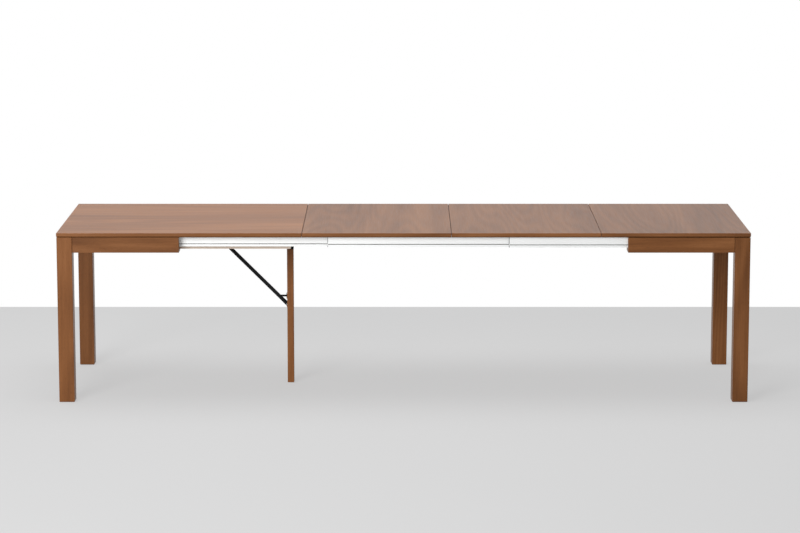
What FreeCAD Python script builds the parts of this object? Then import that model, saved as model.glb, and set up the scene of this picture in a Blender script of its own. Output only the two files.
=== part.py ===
import FreeCAD, Part
import os
import re
import Sketcher

# Extending table, standing open. The fixed end carries the long main top and a folding
# support leg. The moving end rides on telescopic guides, and three loose leaves bridge the gap.
# +X runs from the fixed end to the moving end, +Y from the front to the rear, +Z up.
# The origin is on the floor under the middle of the open table.

LEAVES = 3
SIDES = ("front", "rear")

# Layers of the guide stack, counted from the apron inwards
OUTER, MIDDLE, INNER, FIXED = range(4)

# Driving sizes in millimetres, angles in degrees
SIZES = {
    # Whole table and tops
    "table_height": 750,
    "table_depth": 900,
    "main_top_length": 1065,
    "leaf_length": 648,
    "seam_gap": 2,
    "top_thickness": 19,
    "top_under_bevel": 5,
    "top_edge_round": 1.2,
    "top_overhang": 1,
    # Legs and their glides
    "leg_side": 67,
    "leg_end_wall": 15,
    "leg_edge_round": 2,
    "glide_diameter": 40,
    "glide_height": 2,
    # Aprons and the ledges behind them
    "apron_height": 67,
    "apron_thickness": 20,
    "apron_setback": 1,
    "apron_edge_round": 1.5,
    "apron_meeting_gap": 1,
    "joint_groove_width": 2,
    "joint_groove_depth": 4,
    "ledge_thickness": 19,
    # Telescopic guides
    "guide_pitch": 15,
    "guide_side_gap": 0.3,
    "guide_floor_gap": 1,
    "guide_top_gap": 1,
    "guide_end_gap": 1,
    "guide_pass_gap": 0.5,
    "fixed_guide_end_gap": 3,
    "slot_height": 11.5,
    "slot_opening": 3,
    "slot_lip": 2,
    "tongue_head_height": 8,
    "tongue_head_depth": 4,
    "tongue_gap": 0.3,
    "chamber_wall": 2.5,
    # Share of the whole travel that each loose guide stage makes
    "inner_travel_share": 0.19,
    "middle_travel_share": 0.595,
    # Bearers and cross rails under the main top
    "bearer_thickness": 25,
    "bearer_height": 62,
    "bearer_setback": 50,
    "rail_height": 24,
    "rail_width": 40,
    "hinge_rail_width": 32,
    # Support leg and its hinge
    "support_thickness": 29,
    "support_width": 45,
    "support_edge_round": 2,
    "support_glide_diameter": 24,
    "hinge_drop": 22,
    "hinge_pin_diameter": 10,
    "hinge_pin_overhang": 3,
    "running_clearance": 0.05,
    "bracket_plate": 3,
    "bracket_gap": 0.5,
    "bracket_wing": 24,
    "bracket_cheek_drop": 12,
    # Stay, clevis and stop on the support leg
    "stay_angle": 45,
    "stay_offset": 27,
    "stay_width": 16,
    "stay_thickness": 5,
    "pivot_diameter": 8,
    "pivot_overhang": 2,
    "clevis_gap": 0.3,
    "clevis_cheek": 3,
    "clevis_base": 2,
    "clevis_base_width": 30,
    "clevis_margin": 2,
    "clevis_screw_gap": 0.1,
    "stop_rise": 25,
    "stop_thickness": 7,
    "stop_width": 10,
    "stop_base": 2,
    "stop_base_height": 26,
    "stop_base_width": 18,
    "stop_gap": 0.3,
    "stop_screw_gap": 0.25,
    # Rollers of the stay and their track
    "roller_diameter": 26,
    "roller_width": 3.5,
    "roller_gap": 0.3,
    "track_plate": 3,
    "track_wall": 2,
    "track_depth": 25,
    "track_side_gap": 0.7,
    "track_flange": 13,
    "track_end_margin": 10,
    "track_rail_gap": 20,
    # Locating blocks and felt pads under the leaves
    "locator_length": 60,
    "locator_width": 20,
    "locator_height": 24,
    # Dowels and screws
    "dowel_diameter": 8,
    "dowel_length": 40,
    "dowel_edge": 14,
    "dowel_bite": 12,
    "dowel_spread": 16,
    "screw_diameter": 5,
    "screw_head_diameter": 9,
    "screw_head_height": 3,
    "screw_bite": 14,
    "top_screw_bite": 12,
    "top_screw_grip": 24,
    "hole_clearance": 0.05,
    "access_clearance": 0.5,
    "cut_overrun": 1,
}

# Where the plain cross rails start along the bearers, and where screws sit along their piece
RAIL_SHARES = (0.1, 0.723)
SCREW_SHARES = (0.05, 0.5, 0.9)
TOP_SCREW_SHARES = (0.2, 0.6, 0.87)

# Sizes that follow from the driving ones
FORMULAS = {
    "leaf_pitch": "leaf_length + seam_gap",
    "travel": f"{LEAVES} * leaf_pitch",
    "open_length": "main_top_length + travel",
    "left_end": "-open_length / 2",
    "right_end": "open_length / 2",
    "front_edge": "-table_depth / 2",
    "rear_edge": "table_depth / 2",
    "top_under": "table_height - top_thickness",
    "moving_top": "top_under - guide_top_gap",
    "apron_bottom": "top_under - apron_height",
    "ledge_top": "apron_bottom + ledge_thickness",
    "apron_inset": "top_overhang + apron_setback",
    "rail_inset": "apron_inset + apron_thickness",
    "leg_inner": "top_overhang + leg_side",
    "leg_side_wall": "rail_inset - guide_pass_gap - top_overhang",
    "apron_length": "(main_top_length - apron_meeting_gap) / 2 - leg_inner",
    "end_apron_length": "table_depth - 2 * leg_inner",
    "guide_bottom": "ledge_top + guide_floor_gap",
    "guide_height": "moving_top - guide_bottom",
    "guide_depth": "guide_pitch - guide_side_gap",
    "guide_end_inset": "top_overhang + leg_end_wall + guide_end_gap",
    "guide_length": "main_top_length - 2 * guide_end_inset",
    "fixed_guide_length": "main_top_length - 2 * rail_inset - fixed_guide_end_gap",
    "inner_guide_length": "fixed_guide_length - guide_end_gap",
    "slot_half_height": "tongue_head_height / 2 + tongue_gap",
    "slot_back": "slot_lip + tongue_head_depth + 2 * tongue_gap",
    "neck_half_height": "slot_opening / 2 - tongue_gap",
    "neck_end": "guide_pitch + slot_lip + tongue_gap",
    "chamber_bottom": "slot_height + slot_half_height + chamber_wall",
    "chamber_middle": "(chamber_bottom + guide_height - chamber_wall) / 2",
    "ledge_depth": f"{FIXED} * guide_pitch + guide_depth - guide_pass_gap",
    "bearer_inset": f"rail_inset + {FIXED} * guide_pitch + guide_depth",
    "bearer_inner": "bearer_inset + bearer_thickness",
    "bearer_length": "main_top_length - rail_inset - bearer_setback",
    "bearer_bottom": "top_under - bearer_height",
    "rail_bottom": "top_under - rail_height",
    "rail_length": "table_depth - 2 * bearer_inner",
    "hinge_x": "left_end + main_top_length - bearer_setback - hinge_rail_width / 2",
    "hinge_z": "rail_bottom - hinge_drop",
    "left_rail_end": f"left_end + rail_inset + {RAIL_SHARES[0]} * bearer_length + rail_width",
    "stay_reach": "hinge_x - left_rail_end - track_rail_gap - track_end_margin - roller_diameter / 2",
    "stay_drop": "(stay_reach * sin(stay_angle) - stay_offset) / (sin(stay_angle) + 1)",
    "pivot_x": "hinge_x - stay_offset",
    "pivot_z": "hinge_z - stay_drop",
    "stay_length": "(stay_drop + stay_offset) / sin(stay_angle)",
    "roller_x": "pivot_x - stay_length * cos(stay_angle)",
    "roller_z": "hinge_z + stay_offset",
    "folded_roller_x": "hinge_x - stay_drop - stay_length",
    "cheek_inner": "support_width / 2 + bracket_gap",
    "cheek_outer": "cheek_inner + bracket_plate",
    "clevis_inner": "stay_thickness / 2 + clevis_gap",
    "clevis_outer": "clevis_inner + clevis_cheek",
    "clevis_drop": "(stay_offset - support_thickness / 2) * tan(stay_angle)",
    "clevis_half_height": "stay_width / 2 / cos(stay_angle)",
    "roller_inner": "stay_thickness / 2 + roller_gap",
    "roller_outer": "roller_inner + roller_width",
    "access_diameter": "screw_head_diameter + 2 * access_clearance",
    "dowel_hole": "dowel_diameter + 2 * hole_clearance",
    "screw_hole": "screw_diameter + 2 * hole_clearance",
    "hinge_pin_hole": "hinge_pin_diameter + 2 * hole_clearance",
    "hinge_bore": "hinge_pin_diameter + 2 * running_clearance",
    "pivot_hole": "pivot_diameter + 2 * hole_clearance",
    "pivot_bore": "pivot_diameter + 2 * running_clearance",
    "track_inner": "roller_outer + track_side_gap",
    "track_outer": "track_inner + track_wall",
    "track_start": "folded_roller_x - roller_diameter / 2 - track_end_margin",
    "track_length": "roller_x + roller_diameter / 2 + track_end_margin - track_start",
}

# Locating blocks of each leaf: start along the leaf as a share, and the guide they stand behind
LOCATOR_SHARES = (
    ((0.036, INNER), (0.76, MIDDLE)),
    ((0.1, MIDDLE), (0.84, OUTER)),
    ((0.08, OUTER), (0.55, OUTER)),
)

AXES = {"X": FreeCAD.Vector(1, 0, 0), "Y": FreeCAD.Vector(0, 1, 0), "Z": FreeCAD.Vector(0, 0, 1)}

doc = FreeCAD.newDocument("extending_table")
sheet = doc.addObject("Spreadsheet::Sheet", "sizes")
for row, (size_name, size) in enumerate(SIZES.items(), 1):
    sheet.set(f"A{row}", size_name)
    sheet.set(f"B{row}", str(size))
    sheet.setAlias(f"B{row}", size_name)
doc.recompute()

nodes = []


def bound(formula):
    """Write a formula out in the cells of the sheet."""
    def cell(match):
        word = match.group()
        if word in FORMULAS:
            return f"({bound(FORMULAS[word])})"
        return f"sizes.{word}" if word in SIZES else word
    return re.sub(r"[a-z]\w*", cell, formula)


def value(formula):
    """Work a formula out as a number."""
    return float(sheet.evalExpression(bound(formula)))


def along(end, inset, length="0"):
    """X of a piece's low corner, measured inwards from its own end of the table."""
    if end == "left":
        return f"left_end + {inset}"
    return f"right_end - ({inset}) - ({length})"


def across(side, inset, width="0"):
    """Y of a piece's low corner, measured inwards from its own long edge of the table."""
    if side == "front":
        return f"front_edge + {inset}"
    return f"rear_edge - ({inset}) - ({width})"


def inward(side):
    """Sign of the way from a long edge towards the middle of the table."""
    return 1 if side == "front" else -1


def place(item, x, y, z):
    """Tie a piece's position to three formulas."""
    for axis, formula in zip("xyz", (x, y, z)):
        item.setExpression(f"Placement.Base.{axis}", bound(formula))
    return item


def node(label, item):
    """Keep a finished piece under the name of its node."""
    item.Label = label
    nodes.append(item)
    return item


def block(name, size, corner):
    """Make a plain rectangular block."""
    item = doc.addObject("Part::Box", name)
    for side_name, formula in zip(("Length", "Width", "Height"), size):
        item.setExpression(side_name, bound(formula))
    return place(item, *corner)


def rod(name, diameter, length, axis, start):
    """Make a round rod that runs from its start along a positive axis."""
    item = doc.addObject("Part::Cylinder", name)
    item.setExpression("Radius", bound(f"({diameter}) / 2"))
    item.setExpression("Height", bound(length))
    item.Placement.Rotation = FreeCAD.Rotation(AXES["Z"], AXES[axis])
    return place(item, *start)


def group(name, items):
    """Keep separate solids together as one piece."""
    item = doc.addObject("Part::Compound", name)
    item.Links = items
    return item


def cut(name, blank, holes):
    """Cut a list of holes out of a blank."""
    item = doc.addObject("Part::Cut", name)
    item.Base = blank
    item.Tool = group(f"{name}_cuts", holes)
    return item


def new_body(name):
    """Start a solid that is built from sketches."""
    return doc.addObject("PartDesign::Body", name)


def new_sketch(body, plane, lift="0"):
    """Start a sketch on one of the body's own planes."""
    sketch = body.newObject("Sketcher::SketchObject", f"{body.Name}_sketch")
    face = next(item for item in body.Origin.OriginFeatures if item.Role == f"{plane}_Plane")
    sketch.AttachmentSupport = [(face, "")]
    sketch.MapMode = "FlatFace"
    sketch.setExpression("AttachmentOffset.Base.z", bound(lift))
    return sketch


def fix_point(sketch, curve, point, position):
    """Tie a point of a sketch to two formulas."""
    for kind, formula in zip(("DistanceX", "DistanceY"), position):
        rule = Sketcher.Constraint(kind, -1, 1, curve, point, value(formula))
        number = sketch.addConstraint(rule)
        sketch.setExpression(f"Constraints[{number}]", bound(formula))


def draw_outline(sketch, corners):
    """Draw a closed straight-sided outline whose corners are formulas."""
    points = [FreeCAD.Vector(value(x), value(y), 0) for x, y in corners]
    lines = [sketch.addGeometry(Part.LineSegment(points[number - 1], point), False)
             for number, point in enumerate(points)]
    for number, corner in enumerate(corners):
        following = lines[(number + 1) % len(lines)]
        sketch.addConstraint(Sketcher.Constraint("Coincident", lines[number], 2, following, 1))
        fix_point(sketch, lines[number], 2, corner)
    return sketch


def draw_circle(sketch, centre, diameter):
    """Draw a circle whose centre and diameter are formulas."""
    middle = FreeCAD.Vector(value(centre[0]), value(centre[1]), 0)
    radius = f"({diameter}) / 2"
    circle = sketch.addGeometry(Part.Circle(middle, AXES["Z"], value(radius)), False)
    fix_point(sketch, circle, 3, centre)
    number = sketch.addConstraint(Sketcher.Constraint("Radius", circle, value(radius)))
    sketch.setExpression(f"Constraints[{number}]", bound(radius))
    return sketch


def pad(body, sketch, length, symmetric=False):
    """Raise a sketch into a solid."""
    feature = body.newObject("PartDesign::Pad", f"{body.Name}_pad")
    feature.Profile = sketch
    feature.setExpression("Length", bound(length))
    feature.SideType = "Symmetric" if symmetric else "One side"
    return feature


def bore(body, sketch):
    """Cut a sketch right through a solid, both ways."""
    feature = body.newObject("PartDesign::Pocket", f"{body.Name}_bore")
    feature.Profile = sketch
    feature.Type = "ThroughAll"
    feature.SideType = "Symmetric"
    return feature


def rectangle(length, width):
    """Corners of a rectangle that starts at the sketch's origin."""
    return [("0", "0"), (length, "0"), (length, width), ("0", width)]


def dress(body, kind, size_property, size_name, wanted):
    """Round or bevel the edges of the body so far that pass a test."""
    doc.recompute()
    base = body.Tip
    names = [f"Edge{number}" for number, edge in enumerate(base.Shape.Edges, 1) if wanted(edge.BoundBox)]
    feature = body.newObject(f"PartDesign::{kind}", f"{body.Name}_{kind.lower()}")
    feature.Base = (base, names)
    feature.setExpression(size_property, bound(size_name))
    return feature


def round_edges(body, radius, wanted):
    """Round the edges that pass a test."""
    return dress(body, "Fillet", "Radius", radius, wanted)


def bevel_edges(body, width, wanted):
    """Bevel the edges that pass a test."""
    return dress(body, "Chamfer", "Size", width, wanted)


def low_edges(half_height):
    """Test for edges that lie wholly in the lower half of a solid."""
    return lambda box: box.ZMax < half_height


def dowel(name, axis, start):
    """Make a dowel and the hole that it sits in."""
    pin = rod(name, "dowel_diameter", "dowel_length", axis, start)
    hole = rod(f"{name}_hole", "dowel_hole", "dowel_length", axis, start)
    return pin, hole


def screw(name, axis, sign, seat, length):
    """Make a screw whose head bears on the seat point, and the hole of its shank."""
    number = "XYZ".index(axis)
    tip, top = list(seat), list(seat)
    if sign > 0:
        top[number] = f"{seat[number]} - screw_head_height"
    else:
        tip[number] = f"{seat[number]} - ({length})"
    shank = rod(f"{name}_shank", "screw_diameter", length, axis, tip)
    head = rod(f"{name}_head", "screw_head_diameter", "screw_head_height", axis, top)
    whole = doc.addObject("Part::Fuse", name)
    whole.Base = shank
    whole.Tool = head
    hole = rod(f"{name}_hole", "screw_hole", length, axis, tip)
    return whole, hole


def split(pairs):
    """Separate fasteners from their holes."""
    return [pair[0] for pair in pairs], [pair[1] for pair in pairs]


def make_top(name, length, x, free_ends=()):
    """One panel of the top: bevelled below at its free edges, eased above and at its corners."""
    body = new_body(f"{name}_blank")
    pad(body, draw_outline(new_sketch(body, "XY"), rectangle(length, "table_depth")), "top_thickness")
    middle = value("top_thickness / 2")
    ends = [value(end) for end in free_ends]
    bevel_edges(body, "top_under_bevel", lambda box: box.ZMax < middle and (
        box.XLength > middle or any(abs(box.Center.x - end) < middle for end in ends)))
    round_edges(body, "top_edge_round", lambda box: box.ZMin > middle or box.ZLength > middle)
    return place(body, x, "front_edge", "top_under")


def make_leg(end, side, top, holes):
    """A square leg whose head is cut away inside, so that the guides can pass."""
    name = f"{end}_{side}_leg"
    length = f"{1 if end == 'left' else -1} * leg_side"
    width = f"{inward(side)} * leg_side"
    end_wall = f"{1 if end == 'left' else -1} * leg_end_wall"
    side_wall = f"{inward(side)} * leg_side_wall"
    head = [("0", "0"), (length, "0"), (length, side_wall),
            (end_wall, side_wall), (end_wall, width), ("0", width)]
    body = new_body(f"{name}_blank")
    pad(body, draw_outline(new_sketch(body, "XY"), rectangle(length, width)), "ledge_top - glide_height")
    head_sketch = draw_outline(new_sketch(body, "XY", "ledge_top - glide_height"), head)
    pad(body, head_sketch, f"{top} - ledge_top")
    half = value("ledge_top / 2")
    round_edges(body, "leg_edge_round", lambda box: box.ZLength > half)
    bevel_edges(body, "leg_edge_round", low_edges(half))
    place(body, along(end, "top_overhang"), across(side, "top_overhang"), "glide_height")
    node(name, cut(name, body, holes))


def joint_groove(name, reach, corner):
    """The shadow groove that is cut into an apron's outer face where it meets a leg."""
    size = [f"{length} + cut_overrun" for length in reach]
    return block(name, (*size, "apron_height + 2 * cut_overrun"), (*corner, "apron_bottom - cut_overrun"))


def make_apron(end, side, top, holes):
    """A long apron from a leg to the middle of the closed table."""
    name = f"{end}_{side}_apron"
    thickness = "apron_thickness - guide_pass_gap" if end == "left" else "apron_thickness"
    body = new_body(f"{name}_blank")
    sketch = draw_outline(new_sketch(body, "XY"), rectangle("apron_length", thickness))
    pad(body, sketch, f"{top} - apron_bottom")
    free = value("apron_length") if end == "left" else 0
    half = value("apron_height / 2")
    middle = value("apron_length / 2")
    round_edges(body, "apron_edge_round", lambda box: box.ZMax < half
                or (box.ZLength > half and abs(box.Center.x - free) < middle))
    x = along(end, "leg_inner", "apron_length")
    place(body, x, across(side, "apron_inset", thickness), "apron_bottom")
    groove = joint_groove(f"{name}_groove", ("joint_groove_width", "joint_groove_depth"),
                          (along(end, "leg_inner - cut_overrun", "joint_groove_width + cut_overrun"),
                           across(side, "apron_inset - cut_overrun", "joint_groove_depth + cut_overrun")))
    node(name, cut(name, body, [*holes, groove]))


def make_end_frame(end, top, extra_dowels, apron_holes):
    """Legs, aprons, ledges, glides and dowels of one end of the table."""
    pairs = list(extra_dowels)
    for side in SIDES:
        for level, height in (("low", "apron_bottom + dowel_edge"), ("high", "top_under - dowel_edge")):
            side_start = (along(end, "leg_inner - dowel_length / 2", "dowel_length"),
                          across(side, "apron_inset + apron_thickness / 2"), height)
            end_start = (along(end, "top_overhang + leg_end_wall / 2"),
                         across(side, "leg_inner - dowel_length / 2", "dowel_length"), height)
            pairs.append(dowel(f"{end}_{side}_{level}_side_dowel", "X", side_start))
            pairs.append(dowel(f"{end}_{side}_{level}_end_dowel", "Y", end_start))
    dowels, holes = split(pairs)
    glides = []
    for side in SIDES:
        make_leg(end, side, top, holes)
        make_apron(end, side, top, holes + apron_holes)
        ledge = block(f"{end}_{side}_ledge", ("apron_length", "ledge_depth", "ledge_thickness"),
                      (along(end, "leg_inner", "apron_length"), across(side, "rail_inset", "ledge_depth"),
                       "apron_bottom"))
        node(f"{end}_{side}_ledge", ledge)
        glide_centre = "top_overhang + leg_side / 2"
        glides.append(rod(f"{end}_{side}_glide", "glide_diameter", "glide_height", "Z",
                          (along(end, glide_centre), across(side, glide_centre), "0")))
    end_size = ("apron_thickness", "end_apron_length", f"{top} - apron_bottom")
    end_corner = (along(end, "apron_inset", "apron_thickness"), "-end_apron_length / 2", "apron_bottom")
    end_blank = block(f"{end}_end_apron_blank", end_size, end_corner)
    grooves = [joint_groove(f"{end}_end_apron_{side}_groove", ("joint_groove_depth", "joint_groove_width"),
                            (along(end, "apron_inset - cut_overrun", "joint_groove_depth + cut_overrun"),
                             across(side, "leg_inner - cut_overrun", "joint_groove_width + cut_overrun")))
               for side in SIDES]
    node(f"{end}_end_apron", cut(f"{end}_end_apron", end_blank, holes + grooves))
    node(f"{end}_leg_glides", group(f"{end}_leg_glides", glides))
    node(f"{end}_end_dowels", group(f"{end}_end_dowels", dowels))
    return holes


def make_guide(name, side, layer, length, x, tongue, holes=()):
    """An extruded guide: a slot in its outer face, a hollow chamber, and a tongue behind."""
    sign = inward(side)
    neck = ("slot_height - neck_half_height", "slot_height + neck_half_height")
    head = ("slot_height - tongue_head_height / 2", "slot_height + tongue_head_height / 2")
    mouth = ("slot_height - slot_opening / 2", "slot_height + slot_opening / 2")
    slot = ("slot_height - slot_half_height", "slot_height + slot_half_height")
    head_end = "neck_end + tongue_head_depth"
    outline = [("0", "0"), ("guide_depth", "0")]
    if tongue:
        outline += [("guide_depth", neck[0]), ("neck_end", neck[0]),
                    ("neck_end", head[0]), (head_end, head[0]),
                    (head_end, head[1]), ("neck_end", head[1]),
                    ("neck_end", neck[1]), ("guide_depth", neck[1])]
    outline += [("guide_depth", "guide_height"), ("0", "guide_height"),
                ("0", mouth[1]), ("slot_lip", mouth[1]),
                ("slot_lip", slot[1]), ("slot_back", slot[1]),
                ("slot_back", slot[0]), ("slot_lip", slot[0]),
                ("slot_lip", mouth[0]), ("0", mouth[0])]
    chamber = [("chamber_wall", "chamber_bottom"), ("guide_depth - chamber_wall", "chamber_bottom"),
               ("guide_depth - chamber_wall", "guide_height - chamber_wall"),
               ("chamber_wall", "guide_height - chamber_wall")]
    body = new_body(f"{name}_blank")
    sketch = new_sketch(body, "YZ")
    for corners in (outline, chamber):
        draw_outline(sketch, [(f"{sign} * ({y})", z) for y, z in corners])
    pad(body, sketch, length)
    place(body, x, across(side, f"rail_inset + {layer} * guide_pitch"), "guide_bottom")
    node(name, cut(name, body, list(holes)) if holes else body)


def guide_screws(name, side, layer, start, length, sign):
    """Screws in a guide's chamber: towards the bearer (sign 1) or towards the apron (sign -1)."""
    face = f"rail_inset + {layer} * guide_pitch"
    seat_inset = f"{face} + guide_depth - chamber_wall" if sign > 0 else f"{face} + chamber_wall"
    open_face = f"{face} - cut_overrun" if sign > 0 else f"{face} + guide_depth - chamber_wall - cut_overrun"
    pairs, accesses = [], []
    for number, share in enumerate(SCREW_SHARES):
        x = f"{start} + {share} * ({length})"
        height = "guide_bottom + chamber_middle"
        seat = (x, across(side, seat_inset), height)
        reach = "chamber_wall + 2 * cut_overrun"
        mouth = (x, across(side, open_face, reach), height)
        pairs.append(screw(f"{name}_{number}", "Y", sign * inward(side), seat, "chamber_wall + screw_bite"))
        accesses.append(rod(f"{name}_{number}_access", "access_diameter", reach, "Y", mouth))
    return pairs, accesses


def make_fixed_end():
    """Everything that stands still: the fixed end, its top, bearers, rails and hinge."""
    bearer_dowels, rail_dowels, top_pairs, accesses = [], [], [], []
    bearer_x = along("left", "rail_inset")
    rail_starts = [f"{bearer_x} + {share} * bearer_length" for share in RAIL_SHARES]
    rails = [("cross_rail_left", rail_starts[0], "rail_width"),
             ("cross_rail_middle", rail_starts[1], "rail_width"),
             ("cross_rail_right", "hinge_x - hinge_rail_width / 2", "hinge_rail_width")]
    for side in SIDES:
        bearer_middle = across(side, "bearer_inset + bearer_thickness / 2")
        for level, height in (("low", "bearer_bottom + dowel_edge"), ("high", "top_under - dowel_edge")):
            bearer_dowels.append(dowel(f"{side}_bearer_{level}_dowel", "X",
                                       (f"{bearer_x} - dowel_bite", bearer_middle, height)))
        for rail, start, width in rails:
            for sign in (-1, 1):
                rail_dowels.append(dowel(f"{side}_{rail}_dowel_{sign + 1}", "Y",
                                         (f"{start} + ({width}) / 2 + {sign} * dowel_spread / 2",
                                          across(side, "bearer_inner - dowel_length / 2", "dowel_length"),
                                          "top_under - rail_height / 2")))
        for number, share in enumerate(TOP_SCREW_SHARES):
            x = f"{bearer_x} + {share} * bearer_length"
            seat = (x, bearer_middle, "top_under - top_screw_grip")
            mouth = (x, bearer_middle, "bearer_bottom - cut_overrun")
            top_pairs.append(screw(f"{side}_top_screw_{number}", "Z", 1, seat,
                                   "top_screw_grip + top_screw_bite"))
            accesses.append(rod(f"{side}_top_screw_access_{number}", "access_diameter",
                                "bearer_height - top_screw_grip + cut_overrun", "Z", mouth))
    track_pairs = []
    for number, share in enumerate(SCREW_SHARES):
        for sign in (-1, 1):
            seat = (f"track_start + {share} * track_length", f"{sign} * (track_outer + track_flange / 2)",
                    "top_under - track_plate")
            track_pairs.append(screw(f"track_screw_{number}_{sign + 1}", "Z", 1, seat,
                                     "track_plate + top_screw_bite"))
    bracket_pairs = []
    for across_sign in (-1, 1):
        for along_sign in (-1, 1):
            seat = (f"hinge_x + {along_sign} * hinge_rail_width / 4",
                    f"{across_sign} * (cheek_outer + bracket_wing / 2)", "rail_bottom - bracket_plate")
            bracket_pairs.append(screw(f"bracket_screw_{across_sign + 1}_{along_sign + 1}", "Z", 1, seat,
                                       "bracket_plate + screw_bite"))

    top_screws, top_holes = split(top_pairs)
    track_screws, track_holes = split(track_pairs)
    bracket_screws, bracket_holes = split(bracket_pairs)
    rail_pins, rail_holes = split(rail_dowels)
    frame_holes = make_end_frame("left", "top_under", bearer_dowels, [])

    main_top = make_top("main_top", "main_top_length", "left_end", ["0"])
    node("main_top", cut("main_top", main_top, top_holes + track_holes))
    fixed_guide_screws = []
    for side in SIDES:
        pairs, guide_accesses = guide_screws(f"fixed_guide_{side}_screw", side, FIXED, bearer_x,
                                             "fixed_guide_length", 1)
        screws, guide_holes = split(pairs)
        fixed_guide_screws += screws
        blank = block(f"{side}_bearer_blank", ("bearer_length", "bearer_thickness", "bearer_height"),
                      (bearer_x, across(side, "bearer_inset", "bearer_thickness"), "bearer_bottom"))
        bearer_holes = guide_holes + frame_holes + rail_holes + top_holes + accesses
        node(f"{side}_bearer", cut(f"{side}_bearer", blank, bearer_holes))
        make_guide(f"fixed_guide_{side}", side, FIXED, "fixed_guide_length", bearer_x, False,
                   guide_holes + guide_accesses)
    node("fixed_guide_screws", group("fixed_guide_screws", fixed_guide_screws))
    for name, start, width in rails:
        blank = block(f"{name}_blank", (width, "rail_length", "rail_height"),
                      (start, "-rail_length / 2", "rail_bottom"))
        node(name, cut(name, blank, rail_holes + bracket_holes))
    node("cross_rail_dowels", group("cross_rail_dowels", rail_pins))
    node("top_screws", group("top_screws", top_screws))
    make_track(track_holes)
    node("track_screws", group("track_screws", track_screws))
    make_hinge_bracket(bracket_holes)
    node("bracket_screws", group("bracket_screws", bracket_screws))


def channel(half, outer, inner, plate, depth):
    """Outline of a plate with two cheeks below it, symmetrical about its middle."""
    right = [(half, "0"), (half, f"-{plate}"), (outer, f"-{plate}"), (outer, f"-({depth})"),
             (inner, f"-({depth})"), (inner, f"-{plate}")]
    return right + [(f"-({y})", z) for y, z in reversed(right)]


def make_track(holes):
    """A flanged channel, open downwards, that the stay's rollers run in."""
    outline = channel("track_outer + track_flange", "track_outer", "track_inner", "track_plate",
                      "track_depth")
    body = new_body("stay_track_blank")
    pad(body, draw_outline(new_sketch(body, "YZ"), outline), "track_length")
    place(body, "track_start", "0", "top_under")
    node("stay_track", cut("stay_track", body, holes))


def make_hinge_bracket(holes):
    """A bracket with two cheeks under the right cross rail, and the pin that the leg turns on."""
    outline = channel("cheek_outer + bracket_wing", "cheek_outer", "cheek_inner", "bracket_plate",
                      "hinge_drop + bracket_cheek_drop")
    body = new_body("hinge_bracket_blank")
    pad(body, draw_outline(new_sketch(body, "YZ"), outline), "hinge_rail_width", symmetric=True)
    bore(body, draw_circle(new_sketch(body, "XZ"), ("0", "-hinge_drop"), "hinge_pin_hole"))
    place(body, "hinge_x", "0", "rail_bottom")
    node("hinge_bracket", cut("hinge_bracket", body, holes))
    pin_half = "cheek_outer + hinge_pin_overhang"
    node("hinge_pin", rod("hinge_pin", "hinge_pin_diameter", f"2 * ({pin_half})", "Y",
                          ("hinge_x", f"-({pin_half})", "hinge_z")))


def make_sliding_stages():
    """The two loose pairs of guides between the ends."""
    for side in SIDES:
        make_guide(f"inner_guide_{side}", side, INNER, "inner_guide_length",
                   along("left", "rail_inset + guide_end_gap + inner_travel_share * travel"), True)
        make_guide(f"middle_guide_{side}", side, MIDDLE, "guide_length",
                   along("left", "guide_end_inset + middle_travel_share * travel"), True)


def make_moving_end():
    """The moving end with the outer guides that it is carried by."""
    apron_x = along("right", "leg_inner", "apron_length")
    outer_guide_screws, apron_holes = [], []
    for side in SIDES:
        pairs, accesses = guide_screws(f"outer_guide_{side}_screw", side, OUTER, apron_x, "apron_length", -1)
        screws, holes = split(pairs)
        outer_guide_screws += screws
        apron_holes += holes
        make_guide(f"outer_guide_{side}", side, OUTER, "guide_length",
                   along("right", "guide_end_inset", "guide_length"), True, holes + accesses)
    node("outer_guide_screws", group("outer_guide_screws", outer_guide_screws))
    make_end_frame("right", "moving_top", [], apron_holes)


def make_leaf(number, places):
    """A loose leaf with blocks that stand behind the guides and felt pads that rest on them."""
    name = f"leaf_{number + 1}"
    start = f"left_end + main_top_length + seam_gap + {number} * leaf_pitch"
    free_ends = ["leaf_length"] if number == len(LOCATOR_SHARES) - 1 else []
    node(name, make_top(name, "leaf_length", start, free_ends))
    locators, pads = [], []
    for side in SIDES:
        for share, layer in places:
            x = f"{start} + {share} * leaf_length"
            face = f"rail_inset + {layer} * guide_pitch"
            behind = f"{face} + guide_depth + guide_pass_gap"
            tag = f"{name}_{side}_{len(locators)}"
            locators.append(block(f"{tag}_locator", ("locator_length", "locator_width", "locator_height"),
                                  (x, across(side, behind, "locator_width"), "top_under - locator_height")))
            pads.append(block(f"{tag}_pad", ("locator_length", "guide_depth", "guide_top_gap"),
                              (x, across(side, face, "guide_depth"), "moving_top")))
    node(f"{name}_locators", group(f"{name}_locators", locators))
    node(f"{name}_pads", group(f"{name}_pads", pads))


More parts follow.
